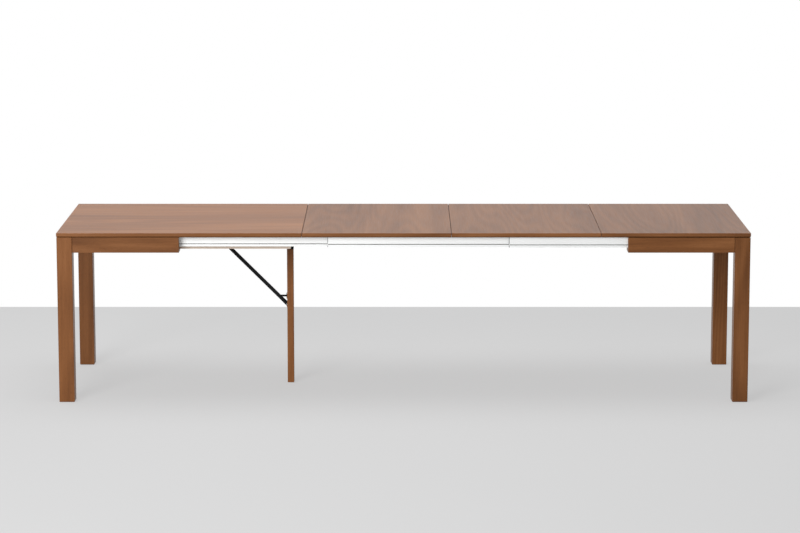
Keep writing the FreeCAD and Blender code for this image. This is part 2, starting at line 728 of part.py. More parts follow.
def make_support_leg():
    """The folding support leg with its glide, clevis, pivot pin and stop."""
    face = "hinge_x - support_thickness / 2"
    clevis_middle = "pivot_z - clevis_drop"
    stop_middle = "pivot_z + stop_rise"
    clevis_spread = "clevis_outer + screw_head_diameter / 2 + clevis_screw_gap"
    stop_spread = "stop_thickness / 2 + screw_head_diameter / 2 + stop_screw_gap"
    pairs = []
    for sign in (-1, 1):
        clevis_seat = (f"{face} - clevis_base", f"{sign} * ({clevis_spread})", clevis_middle)
        pairs.append(screw(f"clevis_screw_{sign + 1}", "X", 1, clevis_seat, "clevis_base + screw_bite"))
        stop_seat = (f"{face} - stop_base", "0", f"{stop_middle} + {sign} * ({stop_spread})")
        pairs.append(screw(f"stop_screw_{sign + 1}", "X", 1, stop_seat, "stop_base + screw_bite"))
    screws, holes = split(pairs)

    body = new_body("support_leg_blank")
    half = "support_thickness / 2"
    low = "glide_height - hinge_z"
    corners = [(f"-{half}", low), (half, low), (half, "0"), (f"-{half}", "0")]
    pad(body, draw_outline(new_sketch(body, "XZ"), corners), "support_width", symmetric=True)
    head = draw_circle(new_sketch(body, "XZ"), ("0", "0"), "support_thickness")
    pad(body, head, "support_width", symmetric=True)
    long_edge = value("hinge_z / 2")
    round_edges(body, "support_edge_round", lambda box: box.ZLength > long_edge)
    bore(body, draw_circle(new_sketch(body, "XZ"), ("0", "0"), "hinge_bore"))
    place(body, "hinge_x", "0", "hinge_z")
    node("support_leg", cut("support_leg", body, holes))
    foot = ("hinge_x", "0", "0")
    node("support_glide", rod("support_glide", "support_glide_diameter", "glide_height", "Z", foot))
    node("support_screws", group("support_screws", screws))
    make_clevis(holes)
    make_stop(holes)


def make_clevis(holes):
    """A clevis on the leg's face, with cheeks in line with the stay and the pin that the stay turns on."""
    back = "-support_thickness / 2"
    face = f"{back} - clevis_base"
    half = "stay_width / 2"
    foot = "clevis_half_height + clevis_margin"
    cheeks = [(back, "clevis_half_height - clevis_drop"), (back, "-clevis_half_height - clevis_drop"),
              (f"-stay_offset - {half} * sin(stay_angle)", f"-{half} * cos(stay_angle)"),
              (f"-stay_offset + {half} * sin(stay_angle)", f"{half} * cos(stay_angle)")]
    plate = [(back, f"{foot} - clevis_drop"), (face, f"{foot} - clevis_drop"),
             (face, f"-({foot}) - clevis_drop"), (back, f"-({foot}) - clevis_drop")]
    body = new_body("stay_clevis_blank")
    pad(body, draw_outline(new_sketch(body, "XZ"), cheeks), "2 * clevis_outer", symmetric=True)
    nose = draw_circle(new_sketch(body, "XZ"), ("-stay_offset", "0"), "stay_width")
    pad(body, nose, "2 * clevis_outer", symmetric=True)
    pad(body, draw_outline(new_sketch(body, "XZ"), plate), "clevis_base_width", symmetric=True)
    bore(body, draw_circle(new_sketch(body, "XZ"), ("-stay_offset", "0"), "pivot_hole"))
    place(body, "hinge_x", "0", "pivot_z")
    depth = "stay_offset + stay_width / 2 - support_thickness / 2 - clevis_base + cut_overrun"
    height = "stay_width / 2 + clevis_drop + clevis_half_height + 2 * cut_overrun"
    slot = block("stay_clevis_slot", (depth, "2 * clevis_inner", height),
                 ("pivot_x - stay_width / 2 - cut_overrun", "-clevis_inner",
                  "pivot_z - clevis_drop - clevis_half_height - cut_overrun"))
    node("stay_clevis", cut("stay_clevis", body, [*holes, slot]))
    pin_half = "clevis_outer + pivot_overhang"
    node("stay_pivot_pin", rod("stay_pivot_pin", "pivot_diameter", f"2 * ({pin_half})", "Y",
                               ("pivot_x", f"-({pin_half})", "pivot_z")))


def make_stop(holes):
    """A stop arm on the leg's face, cut at its tip to the slant of the stay that it bears on."""
    back = "-support_thickness / 2"
    face = f"{back} - stop_base"
    low, high = "stop_rise - stop_thickness / 2", "stop_rise + stop_thickness / 2"
    foot, head = "stop_rise - stop_base_height / 2", "stop_rise + stop_base_height / 2"
    edge = "stay_offset - (stay_width / 2 + stop_gap) / sin(stay_angle)"
    arm = [(back, low), (back, high), (f"-({edge} + ({high}) / tan(stay_angle))", high),
           (f"-({edge} + ({low}) / tan(stay_angle))", low)]
    plate = [(back, foot), (back, head), (face, head), (face, foot)]
    body = new_body("stop_arm_blank")
    pad(body, draw_outline(new_sketch(body, "XZ"), arm), "stop_width", symmetric=True)
    pad(body, draw_outline(new_sketch(body, "XZ"), plate), "stop_base_width", symmetric=True)
    place(body, "hinge_x", "0", "pivot_z")
    node("stop_arm", cut("stop_arm", body, holes))


def make_stay():
    """The slanting stay: a flat bar with round ends, and the rollers at its upper end."""
    body = new_body("stay_bar")
    half = "stay_width / 2"
    shank = [("0", f"-{half}"), ("stay_length", f"-{half}"), ("stay_length", half), ("0", half)]
    pad(body, draw_outline(new_sketch(body, "XZ"), shank), "stay_thickness", symmetric=True)
    for centre in ("0", "stay_length"):
        end = draw_circle(new_sketch(body, "XZ"), (centre, "0"), "stay_width")
        pad(body, end, "stay_thickness", symmetric=True)
    for centre in ("0", "stay_length"):
        bore(body, draw_circle(new_sketch(body, "XZ"), (centre, "0"), "pivot_bore"))
    body.Placement.Rotation = FreeCAD.Rotation(AXES["Y"], 1)
    body.setExpression("Placement.Rotation.Angle", bound("stay_angle - 180"))
    node("stay_bar", place(body, "pivot_x", "0", "pivot_z"))
    rollers = []
    for name, start in (("front", "-roller_outer"), ("rear", "roller_inner")):
        disc = rod(f"{name}_roller_blank", "roller_diameter", "roller_width", "Y",
                   ("roller_x", start, "roller_z"))
        hole = rod(f"{name}_roller_hole", "pivot_bore", "roller_width + 2 * cut_overrun", "Y",
                   ("roller_x", f"{start} - cut_overrun", "roller_z"))
        rollers.append(cut(f"{name}_roller", disc, [hole]))
    node("stay_rollers", group("stay_rollers", rollers))
    node("roller_pin", rod("roller_pin", "pivot_diameter", "2 * roller_outer", "Y",
                           ("roller_x", "-roller_outer", "roller_z")))


def write_nodes():
    """Check every object, then write each node to its own file."""
    doc.recompute()
    failed = [item.Name for item in doc.Objects if {"Invalid", "Error"} & set(item.State)]
    broken = [item.Label for item in nodes if item.Shape.isNull() or not item.Shape.isValid()]
    if failed or broken:
        raise RuntimeError(f"failed objects {failed}, broken shapes {broken}")
    os.makedirs("parts", exist_ok=True)
    for item in nodes:
        item.Shape.exportStep(f"parts/{item.Label}.step")
        print(item.Label, len(item.Shape.Solids), round(item.Shape.Volume))
    print(len(nodes), "nodes")


make_fixed_end()
make_sliding_stages()
make_moving_end()
for leaf_number, leaf_places in enumerate(LOCATOR_SHARES):
    make_leaf(leaf_number, leaf_places)
make_support_leg()
make_stay()
write_nodes()
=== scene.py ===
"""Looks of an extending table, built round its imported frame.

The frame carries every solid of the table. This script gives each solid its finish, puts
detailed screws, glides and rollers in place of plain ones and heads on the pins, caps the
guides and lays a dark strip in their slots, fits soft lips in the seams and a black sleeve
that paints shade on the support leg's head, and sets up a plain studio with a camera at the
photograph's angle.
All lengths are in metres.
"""
import logging
import math
from dataclasses import dataclass
from enum import Enum

import bmesh
import bpy
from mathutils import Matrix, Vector


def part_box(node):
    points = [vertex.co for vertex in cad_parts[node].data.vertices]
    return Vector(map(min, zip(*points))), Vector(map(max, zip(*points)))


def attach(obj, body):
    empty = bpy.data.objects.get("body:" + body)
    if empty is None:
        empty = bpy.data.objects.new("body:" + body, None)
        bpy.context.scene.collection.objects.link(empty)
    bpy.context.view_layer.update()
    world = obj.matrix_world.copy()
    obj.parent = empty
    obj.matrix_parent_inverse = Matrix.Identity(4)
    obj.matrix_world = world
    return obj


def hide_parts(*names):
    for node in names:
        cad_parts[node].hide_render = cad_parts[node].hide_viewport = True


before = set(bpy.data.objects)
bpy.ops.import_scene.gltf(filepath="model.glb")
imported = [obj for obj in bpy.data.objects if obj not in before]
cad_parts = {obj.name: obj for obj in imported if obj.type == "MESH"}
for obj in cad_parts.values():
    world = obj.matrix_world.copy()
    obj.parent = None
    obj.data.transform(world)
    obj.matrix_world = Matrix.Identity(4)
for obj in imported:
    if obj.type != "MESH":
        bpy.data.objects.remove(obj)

log = logging.getLogger("extending_table")

SIDES = ("front", "rear")
ENDS = ("left", "right")
LEAF_BODIES = ("first_leaf", "second_leaf", "third_leaf")
UP = Vector((0.0, 0.0, 1.0))
MERGE_DISTANCE = 1e-6
ORDER_DIGITS = 5
GLOSS_SPAN = (0.3, 0.7)
BEVEL_NORMAL = -math.sqrt(0.5)

Colour = tuple[float, float, float]
Triple = tuple[float, float, float]
Span = tuple[float, float]


class Slot(Enum):
    """Slots of the record that new pieces take their finish from."""

    ZINC_STEEL = "zinc_steel"
    BLACK_STEEL = "black_steel"
    BLACK_PLASTIC = "black_plastic"


class Grain(Enum):
    """Direction of a board's grain, as the turn in degrees that brings it onto X."""

    ALONG_X = (0.0, 0.0, 0.0)
    ALONG_Y = (0.0, 0.0, -90.0)
    ALONG_Z = (0.0, 90.0, 0.0)

    def turn(self) -> Triple:
        """Return the turn in radians."""
        return tuple(math.radians(angle) for angle in self.value)


class Heads(Enum):
    """Where the heads of a set of screws sit, and so which way the screws are driven."""

    BELOW = "below"
    LEFT = "left"
    OUTSIDE = "outside"
    INSIDE = "inside"

    def drive(self, centre: Vector) -> Vector:
        """Return the direction that a screw at a place is driven in.

        Args:
            centre: Middle of the screw.

        Returns:
            A unit vector from the head to the tip.
        """
        if self is Heads.BELOW:
            return UP
        if self is Heads.LEFT:
            return Vector((1.0, 0.0, 0.0))
        inwards = 1.0 if centre.y < 0.0 else -1.0
        return Vector((0.0, inwards if self is Heads.OUTSIDE else -inwards, 0.0))


@dataclass(frozen=True)
class Noise:
    """One layer of noise in a finish, drawn out along X where its share along is below 1."""

    scale: float
    detail: float = 2.0
    roughness: float = 0.5
    distortion: float = 0.0
    along: float = 1.0


@dataclass(frozen=True)
class Relief:
    """Fine relief of a surface: how strongly it shows, and how deep it is."""

    strength: float
    depth: float


class Graph:
    """A node tree under construction."""

    def __init__(self, tree: bpy.types.NodeTree) -> None:
        """Keep the tree that nodes are added to."""
        self.tree = tree

    def feed(self, socket: bpy.types.NodeSocket, value: object) -> None:
        """Link an output to an input socket, or set the socket's own value.

        Args:
            socket: The input socket.
            value: An output socket or a plain value.
        """
        if isinstance(value, bpy.types.NodeSocket):
            self.tree.links.new(value, socket)
        else:
            socket.default_value = value

    def add(self, kind: str, inputs: dict | None = None, **settings: object) -> bpy.types.Node:
        """Add a node.

        Args:
            kind: Blender's type name of the node.
            inputs: Values or output sockets by input name or number.
            settings: Properties of the node.

        Returns:
            The new node.
        """
        node = self.tree.nodes.new(kind)
        for name, value in settings.items():
            setattr(node, name, value)
        for key, value in (inputs or {}).items():
            self.feed(node.inputs[key], value)
        return node

    def calc(self, operation: str, *values: object) -> bpy.types.NodeSocket:
        """Return the result of a Math node on one to three values."""
        return self.add("ShaderNodeMath", dict(enumerate(values)), operation=operation).outputs[0]

    def half(self, value: object) -> bpy.types.NodeSocket:
        """Return half of a value."""
        return self.calc("MULTIPLY", value, 0.5)

    def vector(self, x: object, y: object, z: object) -> bpy.types.NodeSocket:
        """Return a vector joined from three values."""
        return self.add("ShaderNodeCombineXYZ", {0: x, 1: y, 2: z}).outputs[0]


class ShaderGraph(Graph):
    """The node tree of a material."""

    def stretch(self, vector: object, scale: Triple, place: Triple = (0.0, 0.0, 0.0),
                turn: Triple = (0.0, 0.0, 0.0)) -> bpy.types.NodeSocket:
        """Return coordinates that are scaled, turned and then moved."""
        return self.add("ShaderNodeMapping", {"Vector": vector, "Location": place, "Rotation": turn,
                                              "Scale": scale}).outputs[0]

    def noise(self, vector: object, layer: Noise) -> bpy.types.NodeSocket:
        """Lay a layer of noise over coordinates.

        Args:
            vector: The coordinates.
            layer: The layer's values.

        Returns:
            A value between 0 and 1.
        """
        if layer.along != 1.0:
            vector = self.stretch(vector, (layer.along, 1.0, 1.0))
        node = self.add("ShaderNodeTexNoise", {"Vector": vector, "Scale": layer.scale, "Detail": layer.detail,
                                               "Roughness": layer.roughness, "Distortion": layer.distortion})
        return node.outputs["Fac"]

    def spread(self, value: object, span: Span, target: Span) -> bpy.types.NodeSocket:
        """Return a value moved from one span to another, and kept inside it."""
        return self.add("ShaderNodeMapRange", {"Value": value, "From Min": span[0], "From Max": span[1],
                                               "To Min": target[0], "To Max": target[1]}).outputs[0]

    def ramp(self, value: object, places: tuple[float, ...], tones: list[Colour]) -> bpy.types.NodeSocket:
        """Return a colour from a row of tones.

        Args:
            value: Where to read the row, between 0 and 1.
            places: Place of each tone, from low to high.
            tones: Linear colour at each place.

        Returns:
            The colour's socket.
        """
        node = self.add("ShaderNodeValToRGB", {"Fac": value})
        row = node.color_ramp.elements
        while len(row) < len(places):
            row.new(1.0)
        for stop, place, tone in zip(row, places, tones):
            stop.position = place
            stop.color = (*tone, 1.0)
        return node.outputs["Color"]

    def mix_vectors(self, factor: object, first: object, second: object) -> bpy.types.NodeSocket:
        """Return a mix of two vectors."""
        return self.add("ShaderNodeMix", {0: factor, 4: first, 5: second}, data_type="VECTOR").outputs[1]

    def darken(self, factor: object, colour: object, shade: Colour) -> bpy.types.NodeSocket:
        """Return a colour multiplied by a shade, as far as a factor says."""
        return self.add("ShaderNodeMix", {0: factor, 6: colour, 7: (*shade, 1.0)}, data_type="RGBA",
                        blend_type="MULTIPLY").outputs[2]

    def seen(self) -> bpy.types.NodeSocket:
        """Return 1 for rays from the camera, from reflections and through glass, and otherwise 0."""
        ray = self.add("ShaderNodeLightPath")
        direct = self.calc("MAXIMUM", ray.outputs["Is Camera Ray"], ray.outputs["Is Glossy Ray"])
        return self.calc("MAXIMUM", direct, ray.outputs["Is Transmission Ray"])

    def bump(self, height: object, relief: Relief) -> bpy.types.NodeSocket:
        """Return a normal that is tilted by a height."""
        return self.add("ShaderNodeBump", {"Height": height, "Strength": relief.strength,
                                           "Distance": relief.depth}).outputs[0]


def scaled(colour: Colour, factor: float) -> Colour:
    """Return a colour that is lighter or darker by a factor."""
    return tuple(part * factor for part in colour)


@dataclass(frozen=True)
class Finish:
    """A surface finish, made once as a material under its own name."""

    name: str

    def material(self) -> bpy.types.Material:
        """Find or make the material of this finish.

        Returns:
            The material.
        """
        known = bpy.data.materials.get(self.name)
        if known is not None:
            return known
        material = bpy.data.materials.new(self.name)
        material.use_nodes = True
        self.paint(ShaderGraph(material.node_tree), material.node_tree.nodes["Principled BSDF"])
        return material

    def paint(self, graph: ShaderGraph, shader: bpy.types.Node) -> None:
        """Add the finish's nodes and feed them to the shader."""
        raise NotImplementedError

    def place(self, graph: ShaderGraph) -> bpy.types.NodeSocket:
        """Return the piece's own coordinates."""
        return graph.add("ShaderNodeTexCoord").outputs["Object"]

    def surface(self, graph: ShaderGraph, shader: bpy.types.Node, gloss: tuple[object, Span],
                height: tuple[object, Relief]) -> None:
        """Vary the gloss with one layer and tilt the surface with another.

        Args:
            graph: The material's tree.
            shader: The material's shader.
            gloss: Layer that the roughness follows, and the roughness at both ends of it.
            height: Layer that the relief follows, and the relief.
        """
        graph.feed(shader.inputs["Roughness"], graph.spread(gloss[0], GLOSS_SPAN, gloss[1]))
        graph.feed(shader.inputs["Normal"], graph.bump(*height))


PANEL_FIGURE = Noise(4.0, 1.5, 0.45, 0.4, 0.14)
BOARD_FIGURE = Noise(11.0, 1.5, 0.45, 0.4, 0.14)


@dataclass(frozen=True)
class Wood(Finish):
    """Wood with figure, growth rings, fibre and pores that run along its grain."""

    grain: Grain = Grain.ALONG_X
    seed: float = 0.0
    tone: float = 1.0
    seed_step: Triple = (3.7, 1.9, 2.3)
    dark: Colour = (0.132, 0.046, 0.012)
    middle: Colour = (0.216, 0.081, 0.024)
    light: Colour = (0.300, 0.122, 0.042)
    tone_places: Triple = (0.22, 0.5, 0.78)
    figure: Noise = PANEL_FIGURE
    figure_share: float = 0.9
    streak: Noise = Noise(42.0, along=0.03)
    streak_share: float = 0.3
    rise: Noise = Noise(3.2, 2.0, 0.4, 0.25, 0.10)
    ring_waves: float = 120.0
    ring_share: float = 0.07
    fibre: Noise = Noise(260.0, 4.0, 0.66, along=0.022)
    fibre_share: float = 0.4
    speck: Noise = Noise(900.0, 1.0, along=0.05)
    pore_span: Span = (0.58, 0.74)
    pore_shade: Colour = (0.74, 0.70, 0.66)
    pore_depth: float = 0.6
    roughness: Span = (0.34, 0.44)
    specular: float = 0.22
    relief: Relief = Relief(0.10, 0.0004)
    edge_tone: float | None = None
    edge_slope: float = 0.6
    # Painted shade on the downward lower bevel: how dark it is made, and how near its slope must be.
    painted_bevel_shade: float = 0.66
    bevel_slope: float = 0.2

    def board(self, graph: ShaderGraph) -> tuple[bpy.types.NodeSocket, object, object]:
        """Lay the grain along the board, and along each edge of a panel with edge strips.

        Args:
            graph: The material's tree.

        Returns:
            Coordinates whose X runs along the grain, a factor that is 1 on edge strips, and one that is 1 on
            the downward bevel below them, where shade is painted.
        """
        node = graph.add("ShaderNodeTexCoord")
        space, strip = self.turned(graph, node, self.grain), 0.0
        if self.edge_tone is None:
            return space, strip, strip
        normal = graph.add("ShaderNodeSeparateXYZ", {0: node.outputs["Normal"]})
        for axis, grain in ((1, Grain.ALONG_X), (0, Grain.ALONG_Y)):
            steep = graph.calc("GREATER_THAN", graph.calc("ABSOLUTE", normal.outputs[axis]), self.edge_slope)
            space = graph.mix_vectors(steep, space, self.turned(graph, node, grain))
            strip = graph.calc("MAXIMUM", strip, steep)
        return space, strip, graph.calc("COMPARE", normal.outputs[2], BEVEL_NORMAL, self.bevel_slope)

    def turned(self, graph: ShaderGraph, node: bpy.types.Node, grain: Grain) -> bpy.types.NodeSocket:
        """Return the piece's coordinates turned to a grain and moved by the board's seed."""
        offset = scaled(self.seed_step, self.seed)
        return graph.stretch(node.outputs["Object"], (1.0, 1.0, 1.0), offset, grain.turn())

    def paint(self, graph: ShaderGraph, shader: bpy.types.Node) -> None:
        """Lay broad figure, streaks, growth rings, fibre and pores over each other, and paint shade on the
        lower bevel.

        Args:
            graph: The material's tree.
            shader: The material's shader.
        """
        space, strip, bevel = self.board(graph)
        layers = (self.figure, self.streak, self.rise, self.fibre, self.speck)
        figure, streak, rise, fibre, speck = (graph.noise(space, layer) for layer in layers)
        rings = graph.calc("SINE", graph.calc("MULTIPLY", rise, self.ring_waves))
        pores = graph.spread(speck, self.pore_span, (0.0, 1.0))
        value = 0.5 - (self.figure_share + self.streak_share + self.fibre_share) / 2.0
        for layer, share in ((figure, self.figure_share), (streak, self.streak_share),
                             (rings, self.ring_share), (fibre, self.fibre_share)):
            value = graph.calc("MULTIPLY_ADD", layer, share, value)
        tones = [scaled(tint, self.tone) for tint in (self.dark, self.middle, self.light)]
        colour = graph.darken(pores, graph.ramp(value, self.tone_places, tones), self.pore_shade)
        if self.edge_tone is not None:
            colour = graph.darken(strip, colour, (self.edge_tone / self.tone,) * 3)
            # Painted shade: the downward-facing lower bevel is darkened because it lies in shade under the
            # panel's edge.
            colour = graph.darken(bevel, colour, (self.painted_bevel_shade,) * 3)
        graph.feed(shader.inputs["Base Color"], colour)
        height = graph.calc("SUBTRACT", fibre, graph.calc("MULTIPLY", pores, self.pore_depth))
        self.surface(graph, shader, (fibre, self.roughness), (height, self.relief))
        shader.inputs["Specular IOR Level"].default_value = self.specular


@dataclass(frozen=True)
class PowderCoat(Finish):
    """White powder coat on the guides, with a faint orange peel."""

    colour: Colour = (0.90, 0.91, 0.905)
    low_share: float = 0.96
    cloud: Noise = Noise(9.0, 3.0, along=0.4)
    cloud_places: Span = (0.3, 0.7)
    peel: Noise = Noise(700.0)
    roughness: Span = (0.42, 0.52)
    relief: Relief = Relief(0.08, 0.0003)
    metallic: float = 0.6

    def paint(self, graph: ShaderGraph, shader: bpy.types.Node) -> None:
        """Vary the white a little and add the peel.

        Args:
            graph: The material's tree.
            shader: The material's shader.
        """
        space = self.place(graph)
        cloud, peel = graph.noise(space, self.cloud), graph.noise(space, self.peel)
        tones = [scaled(self.colour, self.low_share), self.colour]
        graph.feed(shader.inputs["Base Color"], graph.ramp(cloud, self.cloud_places, tones))
        self.surface(graph, shader, (peel, self.roughness), (peel, self.relief))
        shader.inputs["Metallic"].default_value = self.metallic


@dataclass(frozen=True)
class BlackSteel(Finish):
    """Black painted steel of the stay and its fittings."""

    colour: Colour = (0.004, 0.004, 0.0045)
    high_share: float = 1.9
    cloud: Noise = Noise(45.0, 4.0)
    cloud_places: Span = (0.35, 0.75)
    grit: Noise = Noise(1300.0)
    roughness: Span = (0.5, 0.62)
    relief: Relief = Relief(0.12, 0.0002)
    specular: float = 0.12

    def paint(self, graph: ShaderGraph, shader: bpy.types.Node) -> None:
        """Add a faint cloud to the black and a fine grit to the paint.

        Args:
            graph: The material's tree.
            shader: The material's shader.
        """
        space = self.place(graph)
        cloud, grit = graph.noise(space, self.cloud), graph.noise(space, self.grit)
        tones = [self.colour, scaled(self.colour, self.high_share)]
        graph.feed(shader.inputs["Base Color"], graph.ramp(cloud, self.cloud_places, tones))
        self.surface(graph, shader, (cloud, self.roughness), (grit, self.relief))
        shader.inputs["Specular IOR Level"].default_value = self.specular


@dataclass(frozen=True)
class ZincSteel(Finish):
    """Zinc-plated steel, drawn along X, with the spangle of the plating."""

    colour: Colour = (0.56, 0.57, 0.58)
    low_share: float = 0.8
    spangle: Noise = Noise(140.0, 3.0)
    spangle_places: Span = (0.35, 0.65)
    draw_lines: Noise = Noise(900.0, 3.0, along=0.03)
    roughness: Span = (0.28, 0.42)
    relief: Relief = Relief(0.06, 0.0002)
    metallic: float = 1.0

    def paint(self, graph: ShaderGraph, shader: bpy.types.Node) -> None:
        """Add draw lines and spangle.

        Args:
            graph: The material's tree.
            shader: The material's shader.
        """
        space = self.place(graph)
        spangle, lines = graph.noise(space, self.spangle), graph.noise(space, self.draw_lines)
        tones = [scaled(self.colour, self.low_share), self.colour]
        graph.feed(shader.inputs["Base Color"], graph.ramp(spangle, self.spangle_places, tones))
        self.surface(graph, shader, (spangle, self.roughness), (lines, self.relief))
        shader.inputs["Metallic"].default_value = self.metallic


@dataclass(frozen=True)
class MouldedPlastic(Finish):
    """Moulded plastic with a fine spark-eroded texture."""

    colour: Colour = (0.022, 0.021, 0.021)
    high_share: float = 1.25
    grit: Noise = Noise(1600.0, 3.0)
    grit_places: Span = (0.35, 0.7)
    roughness: Span = (0.5, 0.62)
    relief: Relief = Relief(0.15, 0.0002)

    def paint(self, graph: ShaderGraph, shader: bpy.types.Node) -> None:
        """Add the mould texture.

        Args:
            graph: The material's tree.
            shader: The material's shader.
        """
        grit = graph.noise(self.place(graph), self.grit)
        tones = [self.colour, scaled(self.colour, self.high_share)]
        graph.feed(shader.inputs["Base Color"], graph.ramp(grit, self.grit_places, tones))
        self.surface(graph, shader, (grit, self.roughness), (grit, self.relief))


@dataclass(frozen=True)
class Felt(Finish):
    """Pressed felt of the pads under the leaves."""

    colour: Colour = (0.16, 0.13, 0.11)
    high_share: float = 1.6
    fibres: Noise = Noise(350.0, 4.0, 0.7, 1.5)
    fibre_places: Span = (0.3, 0.7)
    relief: Relief = Relief(0.5, 0.0006)
    roughness: float = 0.95
    sheen: float = 0.35

    def paint(self, graph: ShaderGraph, shader: bpy.types.Node) -> None:
        """Mat the fibres together.

        Args:
            graph: The material's tree.
            shader: The material's shader.
        """
        fibres = graph.noise(self.place(graph), self.fibres)
        tones = [self.colour, scaled(self.colour, self.high_share)]
        graph.feed(shader.inputs["Base Color"], graph.ramp(fibres, self.fibre_places, tones))
        graph.feed(shader.inputs["Normal"], graph.bump(fibres, self.relief))
        shader.inputs["Roughness"].default_value = self.roughness
        shader.inputs["Sheen Weight"].default_value = self.sheen


@dataclass(frozen=True)
class FloorPaint(Finish):
    """Plain pale floor with hardly any variation, lifted towards its own colour for the eye."""

    colour: Colour = (0.55, 0.55, 0.552)
    low_share: float = 0.985
    cloud: Noise = Noise(0.8)
    cloud_places: Span = (0.35, 0.65)
    roughness: float = 0.85
    specular: float = 0.15
    seen_colour: Colour = (0.81, 0.81, 0.812)
    seen_share: float = 0.6

    def paint(self, graph: ShaderGraph, shader: bpy.types.Node) -> None:
        """Vary the grey a little over wide patches, and lighten what the camera and reflections see.

        Args:
            graph: The material's tree.
            shader: The material's shader.
        """
        cloud = graph.noise(self.place(graph), self.cloud)
        tones = [scaled(self.colour, self.low_share), self.colour]
        graph.feed(shader.inputs["Base Color"], graph.ramp(cloud, self.cloud_places, tones))
        shader.inputs["Roughness"].default_value = self.roughness
        shader.inputs["Specular IOR Level"].default_value = self.specular
        glow = graph.add("ShaderNodeEmission", {"Color": (*self.seen_colour, 1.0), "Strength": 1.0})
        share = graph.calc("MULTIPLY", graph.seen(), self.seen_share)
        lifted = graph.add("ShaderNodeMixShader", {0: share, 1: shader.outputs[0], 2: glow.outputs[0]})
        outlet = graph.tree.nodes["Material Output"]
        graph.feed(outlet.inputs["Surface"], lifted.outputs[0])


RAW_ROUGHNESS = (0.6, 0.74)


def solid_wood(name: str, grain: Grain, seed: float, tone: float) -> Wood:
    """Return the lacquered wood of narrow boards, whose streaks lie closer than a panel's.

    Args:
        name: Name of the finish.
        grain: Direction of the grain.
        seed: Number that sets this board apart from the others.
        tone: Share by which the colours are lightened.

    Returns:
        The finish.
    """
    return Wood(name, grain, seed, tone, figure=BOARD_FIGURE, figure_share=0.6, streak_share=0.4,
                fibre_share=0.45, specular=0.2)


def raw_wood(name: str, grain: Grain, seed: float) -> Wood:
    """Return unfinished pale beech.

    Args:
        name: Name of the finish.
        grain: Direction of the grain.
        seed: Number that sets this board apart from the others.

    Returns:
        The finish.
    """
    return Wood(name, grain, seed, dark=(0.66, 0.52, 0.41), middle=(0.76, 0.63, 0.53),
                light=(0.82, 0.71, 0.61), pore_shade=(0.88, 0.84, 0.80), roughness=RAW_ROUGHNESS,
                specular=0.25, relief=Relief(0.2, 0.0004))


WHITE_GUIDE = PowderCoat("white_powder_coat")
BLACK_STEEL = BlackSteel("black_painted_steel")
ZINC = ZincSteel("zinc_plated_steel")
BLACK_PLASTIC = MouldedPlastic("black_moulded_plastic")
GREY_PLASTIC = MouldedPlastic("grey_moulded_plastic", colour=(0.17, 0.172, 0.174))
SOFT_LIP = MouldedPlastic("dark_brown_soft_lip", colour=(0.021, 0.013, 0.009))
FELT = Felt("pressed_felt")
BEECH_RAIL = raw_wood("raw_beech_rail", Grain.ALONG_Y, seed=4.1)
BEECH_LOCATOR = raw_wood("raw_beech_locator", Grain.ALONG_X, seed=6.0)
# The dowels are darkened as painted shade, so that they read dark where they show in the joint grooves
# between legs and aprons.
BEECH_DOWEL = Wood("beech_dowel_painted_shade", Grain.ALONG_X, seed=5.3, tone=0.55, roughness=RAW_ROUGHNESS)


def dress(node: str, finish: Finish) -> None:
    """Give a solid of the frame its finish.

    Args:
        node: Name of the solid's node.
        finish: The finish it gets.
    """
    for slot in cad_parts[node].material_slots:
        slot.material = finish.material()
    log.info("finish %s on %s", finish.name, node)


def solids(node: str) -> list[tuple[Vector, Vector]]:
    """Find the separate solids of a node.

    Args:
        node: Name of the node.

    Returns:
        Lowest and highest corner of each solid, in a fixed order.
    """
    shell = bmesh.new()
    shell.from_mesh(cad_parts[node].data)
    bmesh.ops.remove_doubles(shell, verts=shell.verts, dist=MERGE_DISTANCE)
    left = set(shell.verts)
    boxes = []
    for start in list(shell.verts):
        if start not in left:
            continue
        left.discard(start)
        reached = [start]
        for vertex in reached:
            for edge in vertex.link_edges:
                other = edge.other_vert(vertex)
                if other in left:
                    left.discard(other)
                    reached.append(other)
        low = Vector(min(vertex.co[axis] for vertex in reached) for axis in range(3))
        high = Vector(max(vertex.co[axis] for vertex in reached) for axis in range(3))
        boxes.append((low, high))
    shell.free()
    return sorted(boxes, key=lambda box: tuple(round(part, ORDER_DIGITS) for part in box[0]))


def keep(piece: bpy.types.Object, body: str, slot: Slot, *nodes: str) -> None:
    """Hang a finished piece on its body, in place of the nodes that it stands for.

    Args:
        piece: The finished piece, at rest.
        body: Body of the frame that carries it.
        slot: Slot of the record for its finish; not used.
        nodes: Nodes that it replaces.
    """
    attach(piece, body)
    if nodes:
        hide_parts(*nodes)
    log.info("piece %s on %s", piece.name, body)


def hang_mesh(name: str, mesh: bpy.types.Mesh, finish: Finish) -> bpy.types.Object:
    """Put a mesh with a finish into the scene.

    Args:
        name: Name of the new object.
        mesh: Its mesh.
        finish: Its finish.

    Returns:
        The object, at the origin.
    """
    mesh.materials.append(finish.material())
    piece = bpy.data.objects.new(name, mesh)
    bpy.context.scene.collection.objects.link(piece)
    return piece


